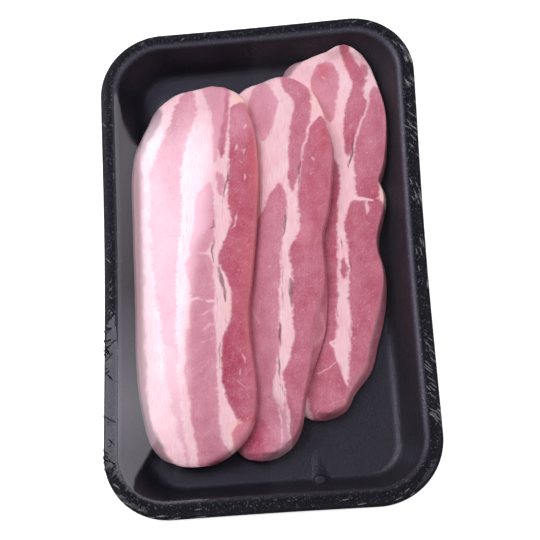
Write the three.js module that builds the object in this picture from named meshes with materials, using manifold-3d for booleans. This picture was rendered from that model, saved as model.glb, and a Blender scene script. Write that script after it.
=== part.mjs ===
// Pack of sliced pork belly: three shingled slices on a black foam tray, overwrapped in clear stretch film.
// Millimetres, +Z up. The origin is the middle of the underside; X runs across the pack, Y along it.
import * as THREE from "three";
import { mergeVertices } from "three/addons/utils/BufferGeometryUtils.js";
import Module from "manifold-3d";

// Driving dimensions of the pack, over the film.
const PACK_LENGTH = 220;
const PACK_WIDTH = 140;
const CORNER_RADIUS = 28;
const SIDE_BOW = 1.2; // the long sides are pulled in this far at their middle by the tight film
const END_BOW = 0.4;

// Foam tray.
const FOAM = 2.9; // thickness of the floor
const WALL_FOAM = 2.5; // distance across the crest from the inside of the wall to its outside
const DEPTH = 16.7; // from the crest of the rim down to the floor
const RIM_WIDTH = 6.8; // from the outline of the pack in to the crest
const RIM_DROP = 1.9; // the rim's outer edge hangs this far below its crest
const LIP_DEPTH = 2.6;
const LIP_ROUND = 1.3; // the lip's rounded outer edge reaches this far in
const SIDE_RUN = 10.8; // the walls lean in by this much between the crest and the floor
const END_RUN = 7.8;
const FLOOR_CORNER_RADIUS = 14.4;
const CREST_BEND = 0.12; // share of the wall that is taken up by the bend at its crest
const FOOT_BEND = 0.14; // the same at its foot, and further out on the floor
const FLOOR_BEND = 0.2;
const BASE_LEAN = 1.08; // where the outside of the wall meets the underside, as a share of its lean
const TUCK_LEAN = 0.1; // where it meets the lip
const LUG_RADIUS = 3.7; // low boss at the foot of the near wall that keeps stacked trays apart
const LUG_TOP_RADIUS = 2.4;
const LUG_OVAL = 0.85; // its depth as a share of its width
const LUG_HEIGHT = 2.8;
const LUG_X = 18.3;
const LUG_CLEAR = 0.4; // its middle stands this far off the foot of the wall
const LUG_SIDES = 20;

// Clear film, drawn as a skin thick enough to be a solid.
const SKIN = 0.4;
const GAP = 0.3; // clearance between pieces that touch
const SEAM_X = 24; // the two edges of the film meet under the tray along this line
const SEAM_HALF_WIDTH = 1;
const SEAM_HALF_LENGTH = 62;

// Slices of belly.
const SLICE_THICKNESS = 6.6;
const SWELL = 0.35; // unevenness of the cut faces
const SWELL_ACROSS = 9;
const SWELL_ALONG = 14;
const DRAPE = 13; // a slice takes this long to climb on to its neighbour
const SQUEEZE = 0.38; // share of its thickness that a slice loses under its neighbour
const SQUEEZE_REACH = 9; // it is thick again this far out from under it
const WALL_CLEARANCE = 0.4;
const STACK_CLEARANCE = 0.7; // between the faces of slices that lie on each other
const FOOT_ROUNDING = 1.6; // softens the bend between floor and wall under a slice

// Sides of a slice. The rim is the height of its outermost line, as a share of the thickness. The shoulder is
// how far in the top reaches full height, straight or round, and the undercut is the same for the bottom.
const LEANING_SIDE = { rim: 0.8, shoulder: 3, undercut: 6, straight: 0 };
const ROUND_SIDE = { rim: 0.45, shoulder: 3, undercut: 3, straight: 0 };
const CUT_SIDE = { rim: 0.15, shoulder: 1.2, undercut: 1, straight: 1 };

// Resolution of the meshes.
const ARC_STEPS = 7; // steps in each corner of a tray or film loop
const SIDE_STEPS = 8;
const END_STEPS = 4;
const STATIONS = 40; // sections along a slice
const SIDE_DIVISIONS = 2; // steps in each side of a slice
const FACE_DIVISIONS = 10; // steps across the face between them
const LARGEST_SIDE = 0.25; // share of a narrow section that a side can take
const OUTLINE_SAMPLES = 400;
const BEND_STEPS = 4; // steps in each bend of a tray or film profile
const LIP_STEPS = 3;
const RIM_STEPS = 4;
const MERGE_DISTANCE = 1e-4;

// Sizes that follow from those above.
const WRAP = SKIN + GAP;
const FLOOR_Z = WRAP + FOAM;
const CREST_Z = FLOOR_Z + DEPTH;
const HALF_LENGTH = PACK_LENGTH / 2;
const HALF_WIDTH = PACK_WIDTH / 2;
const LIP_Z = CREST_Z - RIM_DROP;
const WALL_INSET = RIM_WIDTH - WALL_FOAM;
const CORNER_CHANGE = FLOOR_CORNER_RADIUS - (CORNER_RADIUS - RIM_WIDTH); // from the crest to the floor

// Outlines of the slices in plan, from the near tip up the left edge to the far tip and down the right edge.
const LEFT_SLICE = {
  name: "slice_left",
  farTip: 14,
  outline: [
    [-29, -86.7], [-41, -86], [-50, -79.8], [-54.4, -67], [-56.6, -48], [-56.8, -15], [-57.2, 20],
    [-57.2, 46], [-55, 60.5], [-51, 67.5], [-47.5, 76], [-40.5, 82], [-35, 85.2], [-30, 84.9],
    [-22, 86.9], [-14, 84.6], [-7, 76.5], [-2, 62], [-0.6, 46], [-1.2, 28], [-3.5, 8],
    [-5.5, -7], [-7.4, -22], [-7, -37], [-5.6, -55], [-6.5, -68.5], [-11, -78], [-18, -83.8],
  ],
  leftSide: LEANING_SIDE,
  rightSide: ROUND_SIDE,
  flare: { most: 0, centre: 0, reach: 1 },
};
const MIDDLE_SLICE = {
  name: "slice_middle",
  farTip: 10,
  outline: [
    [-6, -86], [-14, -83], [-19, -73], [-21, -50], [-21, -10], [-21, 30], [-20, 56],
    [-15.5, 74], [-9.5, 82], [-3.5, 85.6], [1, 86.6], [4.4, 86.2], [6.5, 87.6], [13, 87.4],
    [19.5, 84], [25, 76.6], [29.5, 64], [32.5, 51], [31.2, 35], [28.7, 19], [25.7, 9],
    [26.2, -1], [26.4, -10], [26.1, -20], [25, -29], [22.8, -38], [19.8, -46], [17.2, -53],
    [14.4, -63.5], [12.8, -73], [8, -80.5], [1, -84.6],
  ],
  leftSide: ROUND_SIDE,
  rightSide: CUT_SIDE,
  flare: { most: 5, centre: -32, reach: 24 },
};
const RIGHT_SLICE = {
  name: "slice_right",
  farTip: 14,
  outline: [
    [18.5, -70.3], [11.5, -67.5], [7, -60], [5, -40], [4, 0], [4, 40], [5.5, 62],
    [8, 78], [11.3, 88.6], [16, 94.2], [21, 95.6], [26, 97], [29, 96.8], [34, 98.6],
    [40, 99.2], [46, 96.6], [50.6, 90], [53.8, 78], [55.8, 64], [55.4, 50], [53.6, 38.5],
    [51.2, 33], [53.6, 28], [52.4, 18.5], [49.2, 9.5], [48.9, 1.5], [50.9, -5.5], [50.7, -18.3],
    [48.7, -29.3], [45, -41.3], [42.5, -50.3], [37, -56.8], [33.4, -61.3], [31.5, -66.3], [25.5, -69.3],
  ],
  leftSide: ROUND_SIDE,
  rightSide: CUT_SIDE,
  flare: { most: 2.4, centre: -38, reach: 34 },
};

const wasm = await Module();
wasm.setup();

function smoothstep(t) {
  const s = Math.min(1, Math.max(0, t));
  return s * s * (3 - 2 * s);
}

// How far the long sides and the ends are drawn in at a place along them, most at the middle.
function bowAt(place, half, depth) {
  return depth * Math.cos((Math.PI / 2) * (place / half)) ** 2;
}

// A closed loop: a rounded rectangle with drawn-in sides, moved in from the outline of the pack.
// A profile point gives the inset common to all sides, the share of the wall's lean, and the height.
function packLoop({ inset, lean, z }) {
  const halfX = HALF_WIDTH - inset - SIDE_RUN * lean;
  const halfY = HALF_LENGTH - inset - END_RUN * lean;
  const radius = CORNER_RADIUS - inset + CORNER_CHANGE * lean;
  const loop = [];
  for (let corner = 0; corner < 4; corner++) {
    const start = (corner * Math.PI) / 2;
    const signX = corner === 0 || corner === 3 ? 1 : -1;
    const signY = corner < 2 ? 1 : -1;
    const centreX = signX * (halfX - radius);
    const centreY = signY * (halfY - radius);
    for (let step = 0; step <= ARC_STEPS; step++) {
      const angle = start + (step / ARC_STEPS) * (Math.PI / 2);
      loop.push([centreX + radius * Math.cos(angle), centreY + radius * Math.sin(angle)]);
    }
    const end = loop[loop.length - 1];
    const onEnd = corner % 2 === 0;
    const steps = onEnd ? END_STEPS : SIDE_STEPS;
    for (let step = 1; step < steps; step++) {
      const share = step / steps;
      const x = onEnd ? end[0] * (1 - 2 * share) : end[0];
      const y = onEnd ? end[1] : end[1] * (1 - 2 * share);
      loop.push([x, y]);
    }
  }
  return loop.map(([x, y]) => {
    const drawnX = x * (1 - bowAt(y, HALF_LENGTH, SIDE_BOW) / HALF_WIDTH);
    const drawnY = y * (1 - bowAt(x, HALF_WIDTH, END_BOW) / HALF_LENGTH);
    return new THREE.Vector3(drawnX, drawnY, z);
  });
}

// The narrow opening under the tray where the film's edges meet: a shrunk copy of the loop round it.
function seamLoop(around, z) {
  const box = new THREE.Box3().setFromPoints(around);
  return around.map((point) => {
    const x = SEAM_X + (SEAM_HALF_WIDTH * point.x) / box.max.x;
    return new THREE.Vector3(x, (SEAM_HALF_LENGTH * point.y) / box.max.y, z);
  });
}

// Moves a profile sideways to its left by a distance, as a wall grows in thickness.
function offsetProfile(profile, distance) {
  const across = (point) => point.inset + SIDE_RUN * point.lean;
  return profile.map((point, i) => {
    const before = profile[Math.max(0, i - 1)];
    const after = profile[Math.min(profile.length - 1, i + 1)];
    const run = across(after) - across(before);
    const rise = after.z - before.z;
    const length = Math.hypot(run, rise);
    const inset = point.inset - (rise / length) * distance;
    return { inset, lean: point.lean, z: point.z + (run / length) * distance };
  });
}

function geometryOf(positions, indices) {
  const geometry = new THREE.BufferGeometry();
  geometry.setAttribute("position", new THREE.Float32BufferAttribute(positions, 3));
  geometry.setIndex(indices);
  geometry.computeVertexNormals();
  return geometry;
}

// Skins a row of loops that have the same number of points. An end with a centre is closed to that point.
function skinLoops(loops, { startCentre, endCentre }) {
  const count = loops[0].length;
  const positions = loops.flat().flatMap((point) => point.toArray());
  const indices = [];
  for (let band = 0; band < loops.length - 1; band++) {
    const lower = band * count;
    const upper = lower + count;
    for (let i = 0; i < count; i++) {
      const next = (i + 1) % count;
      indices.push(lower + i, lower + next, upper + next);
      indices.push(lower + i, upper + next, upper + i);
    }
  }
  const closeEnd = (centre, first, flip) => {
    const middle = positions.length / 3;
    positions.push(...centre.toArray());
    for (let i = 0; i < count; i++) {
      const next = first + ((i + 1) % count);
      indices.push(...(flip ? [middle, next, first + i] : [middle, first + i, next]));
    }
  };
  if (startCentre) closeEnd(startCentre, 0, true);
  if (endCentre) closeEnd(endCentre, (loops.length - 1) * count, false);
  return geometryOf(positions, indices);
}

function solidOf(geometry) {
  const bare = geometry.clone();
  bare.deleteAttribute("normal");
  bare.deleteAttribute("uv");
  const merged = mergeVertices(bare, MERGE_DISTANCE);
  const vertProperties = merged.attributes.position.array;
  const triVerts = new Uint32Array(merged.index.array);
  return new wasm.Manifold(new wasm.Mesh({ numProp: 3, vertProperties, triVerts }));
}

function geometryFrom(solid) {
  const mesh = solid.getMesh();
  return geometryOf(Array.from(mesh.vertProperties), Array.from(mesh.triVerts));
}

// Points of a rounded bend between two straight stretches of a profile.
function bend(from, corner, to) {
  const points = [];
  for (let step = 0; step <= BEND_STEPS; step++) {
    const t = step / BEND_STEPS;
    const mix = (key) => (1 - t) ** 2 * from[key] + 2 * t * (1 - t) * corner[key] + t ** 2 * to[key];
    points.push({ inset: mix("inset"), lean: mix("lean"), z: mix("z") });
  }
  return points;
}

// A point of the wall's inside, by its share of the way from the crest down to the floor.
function wallPoint(share) {
  return { inset: RIM_WIDTH, lean: share, z: CREST_Z - share * DEPTH };
}

// A point of the wall's outside, by its share of the way from the underside up to the lip.
function outerWallPoint(share) {
  const lean = BASE_LEAN + (TUCK_LEAN - BASE_LEAN) * share;
  return { inset: WALL_INSET, lean, z: WRAP + (LIP_Z - LIP_DEPTH - WRAP) * share };
}

// Bend between the underside and the outside of the wall.
function undersideProfile() {
  const under = { inset: WALL_INSET, lean: BASE_LEAN + FLOOR_BEND, z: WRAP };
  return bend(under, outerWallPoint(0), outerWallPoint(FOOT_BEND));
}

// Rounded lip and the rim that rises from it to the crest: the line that the film is stretched over.
function lipProfile() {
  const points = [];
  for (let step = 0; step <= LIP_STEPS; step++) {
    const angle = -Math.PI / 2 + (step * Math.PI) / 4;
    const z = LIP_Z + (LIP_DEPTH / 2) * (Math.sin(angle) - 1);
    points.push({ inset: WRAP + LIP_ROUND * (1 - Math.cos(angle)), lean: 0, z });
  }
  for (let step = 1; step <= RIM_STEPS; step++) {
    const share = step / RIM_STEPS;
    const inset = WRAP + (RIM_WIDTH - WRAP) * share;
    points.push({ inset, lean: 0, z: CREST_Z - RIM_DROP * (1 - share) ** 2 });
  }
  return points;
}

// Foam tray: underside, outside of the wall, rolled rim, inside of the wall and floor, with its one lug.
function trayGeometry() {
  const rim = lipProfile();
  const crest = rim.pop();
  const floor = { inset: RIM_WIDTH, lean: 1 + FLOOR_BEND, z: FLOOR_Z };
  const profile = [
    ...undersideProfile(),
    outerWallPoint(1),
    ...rim,
    ...bend(rim[rim.length - 1], crest, wallPoint(CREST_BEND)).slice(1),
    ...bend(wallPoint(1 - FOOT_BEND), wallPoint(1), floor),
  ];
  const shell = skinLoops(profile.map(packLoop), {
    startCentre: new THREE.Vector3(0, 0, WRAP),
    endCentre: new THREE.Vector3(0, 0, FLOOR_Z),
  });
  const lug = new THREE.CylinderGeometry(LUG_TOP_RADIUS, LUG_RADIUS, LUG_HEIGHT + GAP, LUG_SIDES);
  lug.rotateX(Math.PI / 2);
  lug.scale(1, LUG_OVAL, 1);
  const nearFoot = HALF_LENGTH - RIM_WIDTH - END_RUN;
  lug.translate(LUG_X, LUG_CLEAR - nearFoot, FLOOR_Z + (LUG_HEIGHT - GAP) / 2);
  return geometryFrom(solidOf(shell).add(solidOf(lug)));
}

// Stretch film: from the seam under the tray round the lip and flat across the top, outside and inside.
function filmGeometry() {
  const stretched = [...undersideProfile(), ...lipProfile()];
  const inside = offsetProfile(stretched, GAP);
  const outside = offsetProfile(stretched, WRAP);
  inside[0].z = SKIN;
  outside[0].z = 0;
  inside[inside.length - 1].z = CREST_Z + GAP;
  outside[outside.length - 1].z = CREST_Z + WRAP;
  const flatInside = { inset: 2 * RIM_WIDTH, lean: 0, z: CREST_Z + GAP };
  const flatOutside = { inset: 2 * RIM_WIDTH, lean: 0, z: CREST_Z + WRAP };
  const outer = [...outside, flatOutside].map(packLoop);
  const inner = [...inside, flatInside].map(packLoop);
  inner.unshift(seamLoop(outer[0], SKIN));
  outer.unshift(seamLoop(outer[0], 0));
  const outerSkin = skinLoops(outer, { endCentre: new THREE.Vector3(0, 0, CREST_Z + WRAP) });
  const innerSkin = skinLoops(inner, { endCentre: new THREE.Vector3(0, 0, CREST_Z + GAP) });
  const seam = skinLoops([inner[0], outer[0]], {});
  return joinSkins([outerSkin, false], [innerSkin, true], [seam, false]);
}

// One surface from several skins whose edges meet. A turned skin faces the other way.
function joinSkins(...skins) {
  const positions = [];
  const indices = [];
  for (const [skin, turned] of skins) {
    const first = positions.length / 3;
    positions.push(...skin.attributes.position.array);
    const corners = Array.from(skin.index.array, (corner) => corner + first);
    if (turned) corners.reverse();
    indices.push(...corners);
  }
  const bare = geometryOf(positions, indices);
  bare.deleteAttribute("normal");
  const joined = mergeVertices(bare, MERGE_DISTANCE);
  joined.computeVertexNormals();
  return joined;
}

// Even steps along a stretch of the smooth outline, between two of its control points.
function outlinePath(curve, from, to, steps) {
  const samples = [];
  for (let i = 0; i <= OUTLINE_SAMPLES; i++) {
    const place = from + ((to - from) * i) / OUTLINE_SAMPLES;
    samples.push(curve.getPoint(((place % 1) + 1) % 1));
  }
  const path = new THREE.CurvePath();
  for (let i = 0; i < OUTLINE_SAMPLES; i++) path.add(new THREE.LineCurve3(samples[i], samples[i + 1]));
  path.autoClose = false;
  return path.getSpacedPoints(steps);
}

// Left and right edges of a slice, in step from the near tip to the far tip.
function sliceEdges({ outline, farTip }) {
  const points = outline.map(([x, y]) => new THREE.Vector3(x, y, 0));
  const curve = new THREE.CatmullRomCurve3(points, true, "centripetal");
  const tip = farTip / outline.length;
  return {
    left: outlinePath(curve, 0, tip, STATIONS),
    right: outlinePath(curve, 1, tip, STATIONS),
  };
}

// Distance from a place to a slice's outline in plan, below zero inside it.
function outlineDistance(edges, x, y) {
  const loop = [...edges.left, ...edges.right.slice(1, -1).reverse()];
  let nearest = Infinity;
  let inside = false;
  for (let i = 0; i < loop.length; i++) {
    const a = loop[i];
    const b = loop[(i + 1) % loop.length];
    const dx = b.x - a.x;
    const dy = b.y - a.y;
    const along = ((x - a.x) * dx + (y - a.y) * dy) / (dx * dx + dy * dy);
    const t = Math.min(1, Math.max(0, along));
    nearest = Math.min(nearest, Math.hypot(x - a.x - t * dx, y - a.y - t * dy));
    if (a.y > y !== b.y > y && x < a.x + ((y - a.y) / dy) * dx) inside = !inside;
  }
  return inside ? -nearest : nearest;
}

// Height of the tray's inside above its floor, with the bend at the foot of the wall softened.
function trayRise(x, y) {
  const floorX = HALF_WIDTH - bowAt(y, HALF_LENGTH, SIDE_BOW) - RIM_WIDTH - SIDE_RUN;
  const floorY = HALF_LENGTH - bowAt(x, HALF_WIDTH, END_BOW) - RIM_WIDTH - END_RUN;
  const pastX = Math.abs(x) - floorX;
  const pastY = Math.abs(y) - floorY;
  const cornerX = Math.max(0, pastX + FLOOR_CORNER_RADIUS);
  const cornerY = Math.max(0, pastY + FLOOR_CORNER_RADIUS);
  const reach = Math.hypot(cornerX, cornerY);
  const inCorner = cornerX > 0 && cornerY > 0;
  const past = inCorner ? reach - FLOOR_CORNER_RADIUS : Math.max(pastX, pastY);
  const sideShare = inCorner ? (cornerX / reach) ** 2 : Number(pastX > pastY);
  const run = END_RUN + (SIDE_RUN - END_RUN) * sideShare;
  return (DEPTH / run) * 0.5 * (past + Math.hypot(past, FOOT_ROUNDING));
}

// How much further than its shoulder the right side of a slice spreads, at a place along the slice.
function flareAt({ most, centre, reach }, y) {
  const share = Math.min(1, Math.abs(y - centre) / reach);
  return most * Math.cos((Math.PI / 2) * share) ** 2;
}

// Quarter-round build-up of height away from an edge.
function rounded(distance, radius) {
  const short = 1 - Math.min(1, distance / radius);
  return Math.sqrt(1 - short * short);
}

// A slice lies on the floor, climbs over the slice under it, is squeezed by the slice over it, and leans
// against the walls that it reaches.
function makeSlice(shape, under, over) {
  const edges = sliceEdges(shape);
  const overEdges = over && sliceEdges(over);
  const thickness = (x, y) => {
    if (!over) return SLICE_THICKNESS;
    const covered = smoothstep(1 - outlineDistance(overEdges, x, y) / SQUEEZE_REACH);
    return SLICE_THICKNESS * (1 - SQUEEZE * covered);
  };
  const lift = (x, y) => {
    if (!under) return 0;
    const carried = smoothstep(1 - outlineDistance(under.edges, x, y) / DRAPE);
    return carried * (under.thickness(x, y) + SWELL + STACK_CLEARANCE + under.lift(x, y));
  };
  const swell = (x, y) => SWELL * Math.sin(x / SWELL_ACROSS + 1) * Math.sin(y / SWELL_ALONG);
  const heights = (x, y, across, edgeDistance) => {
    const mix = (key) => shape.leftSide[key] + (shape.rightSide[key] - shape.leftSide[key]) * across;
    const rim = mix("rim");
    const shoulder = mix("shoulder") + flareAt(shape.flare, y) * across;
    const straight = mix("straight");
    const round = rounded(edgeDistance, shoulder);
    const climb = round + (Math.min(1, edgeDistance / shoulder) - round) * straight;
    const low = rim * (1 - rounded(edgeDistance, mix("undercut")));
    const high = rim + (1 - rim) * climb;
    const bed = FLOOR_Z + GAP + lift(x, y);
    const thick = thickness(x, y);
    const bottom = bed + low * thick;
    const lean = Math.max(0, FLOOR_Z + trayRise(x, y) + WALL_CLEARANCE - bottom);
    const top = bed + high * thick + climb * swell(x, y);
    return { bottom: bottom + lean, top: top + lean };
  };
  return { shape, edges, thickness, lift, heights };
}

// Places across one section of a slice, from its left edge at 0 to its right edge at 1.
function sectionShares({ leftSide, rightSide, flare }, left, right) {
  const width = Math.max(MERGE_DISTANCE, left.distanceTo(right));
  const leftEnd = Math.min(LARGEST_SIDE, leftSide.shoulder / width);
  const rightEnd = 1 - Math.min(LARGEST_SIDE, (rightSide.shoulder + flareAt(flare, right.y)) / width);
  const shares = [];
  for (let step = 0; step < SIDE_DIVISIONS; step++) shares.push((leftEnd * step) / SIDE_DIVISIONS);
  for (let step = 0; step <= FACE_DIVISIONS; step++) {
    shares.push(leftEnd + ((rightEnd - leftEnd) * step) / FACE_DIVISIONS);
  }
  for (let step = 1; step <= SIDE_DIVISIONS; step++) {
    shares.push(rightEnd + ((1 - rightEnd) * step) / SIDE_DIVISIONS);
  }
  return shares;
}

// Two sheets, the cut faces, that share the slice's outline.
function sliceGeometry({ shape, edges, heights }) {
  const positions = [];
  const indices = [];
  const top = [];
  const bottom = [];
  const addVertex = (x, y, z) => positions.push(x, y, z) / 3 - 1;
  for (let station = 0; station <= STATIONS; station++) {
    const left = edges.left[station];
    const right = edges.right[station];
    const isTip = station === 0 || station === STATIONS;
    top.push([]);
    bottom.push([]);
    for (const [step, across] of sectionShares(shape, left, right).entries()) {
      const place = left.clone().lerp(right, across);
      const onEdge = isTip || across === 0 || across === 1;
      const edgeDistance = onEdge ? 0 : -Math.min(0, outlineDistance(edges, place.x, place.y));
      const height = heights(place.x, place.y, across, edgeDistance);
      if (isTip && step > 0) {
        top[station].push(top[station][0]);
        bottom[station].push(top[station][0]);
        continue;
      }
      const upper = addVertex(place.x, place.y, height.top);
      top[station].push(upper);
      bottom[station].push(onEdge ? upper : addVertex(place.x, place.y, height.bottom));
    }
  }
  const addTriangle = (a, b, c) => {
    if (a !== b && b !== c && a !== c) indices.push(a, b, c);
  };
  for (let station = 0; station < STATIONS; station++) {
    for (let step = 0; step < top[station].length - 1; step++) {
      const [a, b] = [top[station][step], top[station][step + 1]];
      const [c, d] = [top[station + 1][step], top[station + 1][step + 1]];
      addTriangle(a, b, d);
      addTriangle(a, d, c);
      const [e, f] = [bottom[station][step], bottom[station][step + 1]];
      const [g, h] = [bottom[station + 1][step], bottom[station + 1][step + 1]];
      addTriangle(e, h, f);
      addTriangle(e, g, h);
    }
  }
  return geometryOf(positions, indices);
}

const foamMaterial = new THREE.MeshStandardMaterial({ color: 0x2a282e, roughness: 0.75, metalness: 0 });
const meatMaterial = new THREE.MeshStandardMaterial({ color: 0xd98a9c, roughness: 0.35, metalness: 0 });
const filmMaterial = new THREE.MeshStandardMaterial({
  color: 0xffffff,
  roughness: 0.05,
  metalness: 0,
  transparent: true,
  opacity: 0.12,
});

const pack = new THREE.Group();

function addPiece(name, geometry, material) {
  const piece = new THREE.Mesh(geometry, material);
  piece.name = name;
  pack.add(piece);
}

addPiece("tray", trayGeometry(), foamMaterial);
const rightSlice = makeSlice(RIGHT_SLICE, null, MIDDLE_SLICE);
const middleSlice = makeSlice(MIDDLE_SLICE, rightSlice, LEFT_SLICE);
const leftSlice = makeSlice(LEFT_SLICE, middleSlice, null);
for (const slice of [leftSlice, middleSlice, rightSlice]) {
  addPiece(slice.shape.name, sliceGeometry(slice), meatMaterial);
}
addPiece("film", filmGeometry(), filmMaterial);

export default pack;
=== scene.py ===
"""Looks of a retail pack of sliced pork belly: black foam tray, three slices and clear stretch film."""
import logging
import math
from dataclasses import dataclass
from enum import Enum
from typing import NamedTuple

import bmesh
import bpy
import numpy as np
from bpy.types import Material, Mesh, Node, NodeSocket, NodeTree, Object
from mathutils import Matrix, Vector, noise
from mathutils.kdtree import KDTree


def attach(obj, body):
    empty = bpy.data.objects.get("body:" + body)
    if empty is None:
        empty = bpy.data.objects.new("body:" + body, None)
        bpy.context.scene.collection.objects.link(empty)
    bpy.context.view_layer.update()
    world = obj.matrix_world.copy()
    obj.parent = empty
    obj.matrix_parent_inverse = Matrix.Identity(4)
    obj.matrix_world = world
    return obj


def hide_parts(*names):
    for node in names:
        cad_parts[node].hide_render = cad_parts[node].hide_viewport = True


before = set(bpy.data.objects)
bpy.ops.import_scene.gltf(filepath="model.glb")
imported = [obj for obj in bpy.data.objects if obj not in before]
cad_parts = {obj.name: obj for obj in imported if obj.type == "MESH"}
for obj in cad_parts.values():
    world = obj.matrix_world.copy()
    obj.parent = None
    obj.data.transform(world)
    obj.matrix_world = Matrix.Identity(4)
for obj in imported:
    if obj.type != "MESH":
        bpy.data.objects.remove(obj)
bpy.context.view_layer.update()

BODY = "root"
MM = 0.001  # sizes below are in millimetres and meshes in metres
PER_METRE = 1 / MM

# Sockets of the Mix node for colours and of the Random Value node for numbers, whose names aren't their own.
MIX_FACTOR, MIX_FIRST, MIX_SECOND, MIX_RESULT = 0, 6, 7, 2
RANDOM_LEAST, RANDOM_MOST, RANDOM_RESULT = 2, 3, 1

log = logging.getLogger("pork_belly_pack")


def linear(hex_colour: str) -> tuple[float, float, float, float]:
    """Turns an sRGB hex colour to linear light.

    Args:
        hex_colour: Six hex digits after a hash sign.

    Returns:
        Red, green, blue and an alpha of one.
    """
    values = [int(hex_colour[i:i + 2], 16) / 255 for i in (1, 3, 5)]
    red, green, blue = [v / 12.92 if v <= 0.04045 else ((v + 0.055) / 1.055) ** 2.4 for v in values]
    return red, green, blue, 1.0


def add_node(tree: NodeTree, kind: str, inputs: dict | None = None, **settings: object) -> Node:
    """Adds a node with its settings and links.

    Args:
        tree: Node tree that gets the node.
        kind: Blender's name for the kind of node.
        inputs: Sockets by name or index, each with a value or with the socket that feeds it.
        **settings: Properties of the node.

    Returns:
        The new node.
    """
    node = tree.nodes.new(kind)
    for name, value in settings.items():
        setattr(node, name, value)
    for key, value in (inputs or {}).items():
        if isinstance(value, NodeSocket):
            tree.links.new(value, node.inputs[key])
        else:
            node.inputs[key].default_value = value
    return node


def new_material(name: str) -> tuple[Material, NodeTree]:
    """Makes a material with an empty node tree.

    Args:
        name: What the material is.

    Returns:
        The material and its tree.
    """
    material = bpy.data.materials.new(name)
    material.use_nodes = True
    material.node_tree.nodes.clear()
    return material, material.node_tree


def layered(
    tree: NodeTree,
    base: NodeSocket | tuple[float, float, float, float],
    layers: tuple[tuple[NodeSocket, str], ...],
) -> NodeSocket:
    """Lays colours over a base colour, one after another.

    Args:
        tree: Tree that gets the nodes.
        base: Colour below all others.
        layers: How far each colour covers what lies below it, and the colour.

    Returns:
        The colour that shows.
    """
    for cover, colour in layers:
        parts = {MIX_FACTOR: cover, MIX_FIRST: base, MIX_SECOND: linear(colour)}
        base = add_node(tree, "ShaderNodeMix", parts, data_type="RGBA").outputs[MIX_RESULT]
    return base


def smooth(values: np.ndarray) -> np.ndarray:
    """Eases values from 0 to 1 and holds them beyond."""
    clipped = np.clip(values, 0, 1)
    return clipped * clipped * (3 - 2 * clipped)


def across_edge(inside: np.ndarray, width: float) -> np.ndarray:
    """Eases from 0 to 1 across an edge, with a half on the edge itself.

    Args:
        inside: Distances in from the edge.
        width: Width that the change takes up.

    Returns:
        One share for each distance.
    """
    return smooth(inside / width + 0.5)


def make_object(name: str, mesh: Mesh, material: Material) -> Object:
    """Puts a mesh in the scene as a smooth-shaded object of one material.

    Args:
        name: Name of the object and its mesh.
        mesh: Mesh in metres.
        material: Finish of all its faces.

    Returns:
        The object, at the origin.
    """
    mesh.name = name
    mesh.materials.clear()
    mesh.materials.append(material)
    mesh.shade_smooth()
    piece = bpy.data.objects.new(name, mesh)
    bpy.context.scene.collection.objects.link(piece)
    return piece


def evaluated_mesh(piece: Object) -> Mesh:
    """Gives an object's mesh with its modifiers worked in.

    Args:
        piece: Object with live modifiers.

    Returns:
        A plain new mesh.
    """
    graph = bpy.context.evaluated_depsgraph_get()
    return bpy.data.meshes.new_from_object(piece.evaluated_get(graph))


def work_in_modifiers(piece: Object) -> None:
    """Makes an object's mesh what its modifiers show, and takes them off."""
    mesh = evaluated_mesh(piece)
    piece.modifiers.clear()
    piece.data = mesh
    mesh.shade_smooth()


def read_points(mesh: Mesh) -> np.ndarray:
    """Gives the places of a mesh's vertices in millimetres, one row each."""
    flat = np.empty(len(mesh.vertices) * 3)
    mesh.vertices.foreach_get("co", flat)
    return flat.reshape(-1, 3) * PER_METRE


def store_values(mesh: Mesh, name: str, values: np.ndarray) -> None:
    """Keeps one number for each vertex, for the finish to read."""
    attribute = mesh.attributes.new(name, "FLOAT", "POINT")
    attribute.data.foreach_set("value", values.astype(np.float32))


class Slot(Enum):
    """Material slots of the record."""

    FOAM = "foam"
    BELLY = "belly"
    FILM = "film"


def register(piece: Object, slot: Slot, *nodes: str) -> None:
    """Tells the frame what a piece rides on and stands for.

    Args:
        piece: Finished object.
        slot: Slot of the record's materials; not used.
        *nodes: Nodes that the piece replaces.
    """
    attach(piece, BODY)
    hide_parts(*nodes)
    log.info("%s: %d faces, stands for %s", piece.name, len(piece.data.polygons), ", ".join(nodes))


@dataclass(frozen=True)
class LoopSteps:
    """How finely a loop round the pack is divided.

    Attributes:
        arc: Steps in each corner.
        side: Steps along each long side.
        end: Steps along each end.
    """

    arc: int
    side: int
    end: int

    @property
    def count(self) -> int:
        """Points in the loop."""
        return 4 * (self.arc + 1) + 2 * (self.side - 1) + 2 * (self.end - 1)


class ProfilePoint(NamedTuple):
    """A point of the section through the pack's side.

    Attributes:
        inset: How far in from the outline it lies, the same on all sides.
        lean: Share of the wall's lean.
        z: Height.
    """

    inset: float
    lean: float
    z: float


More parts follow.
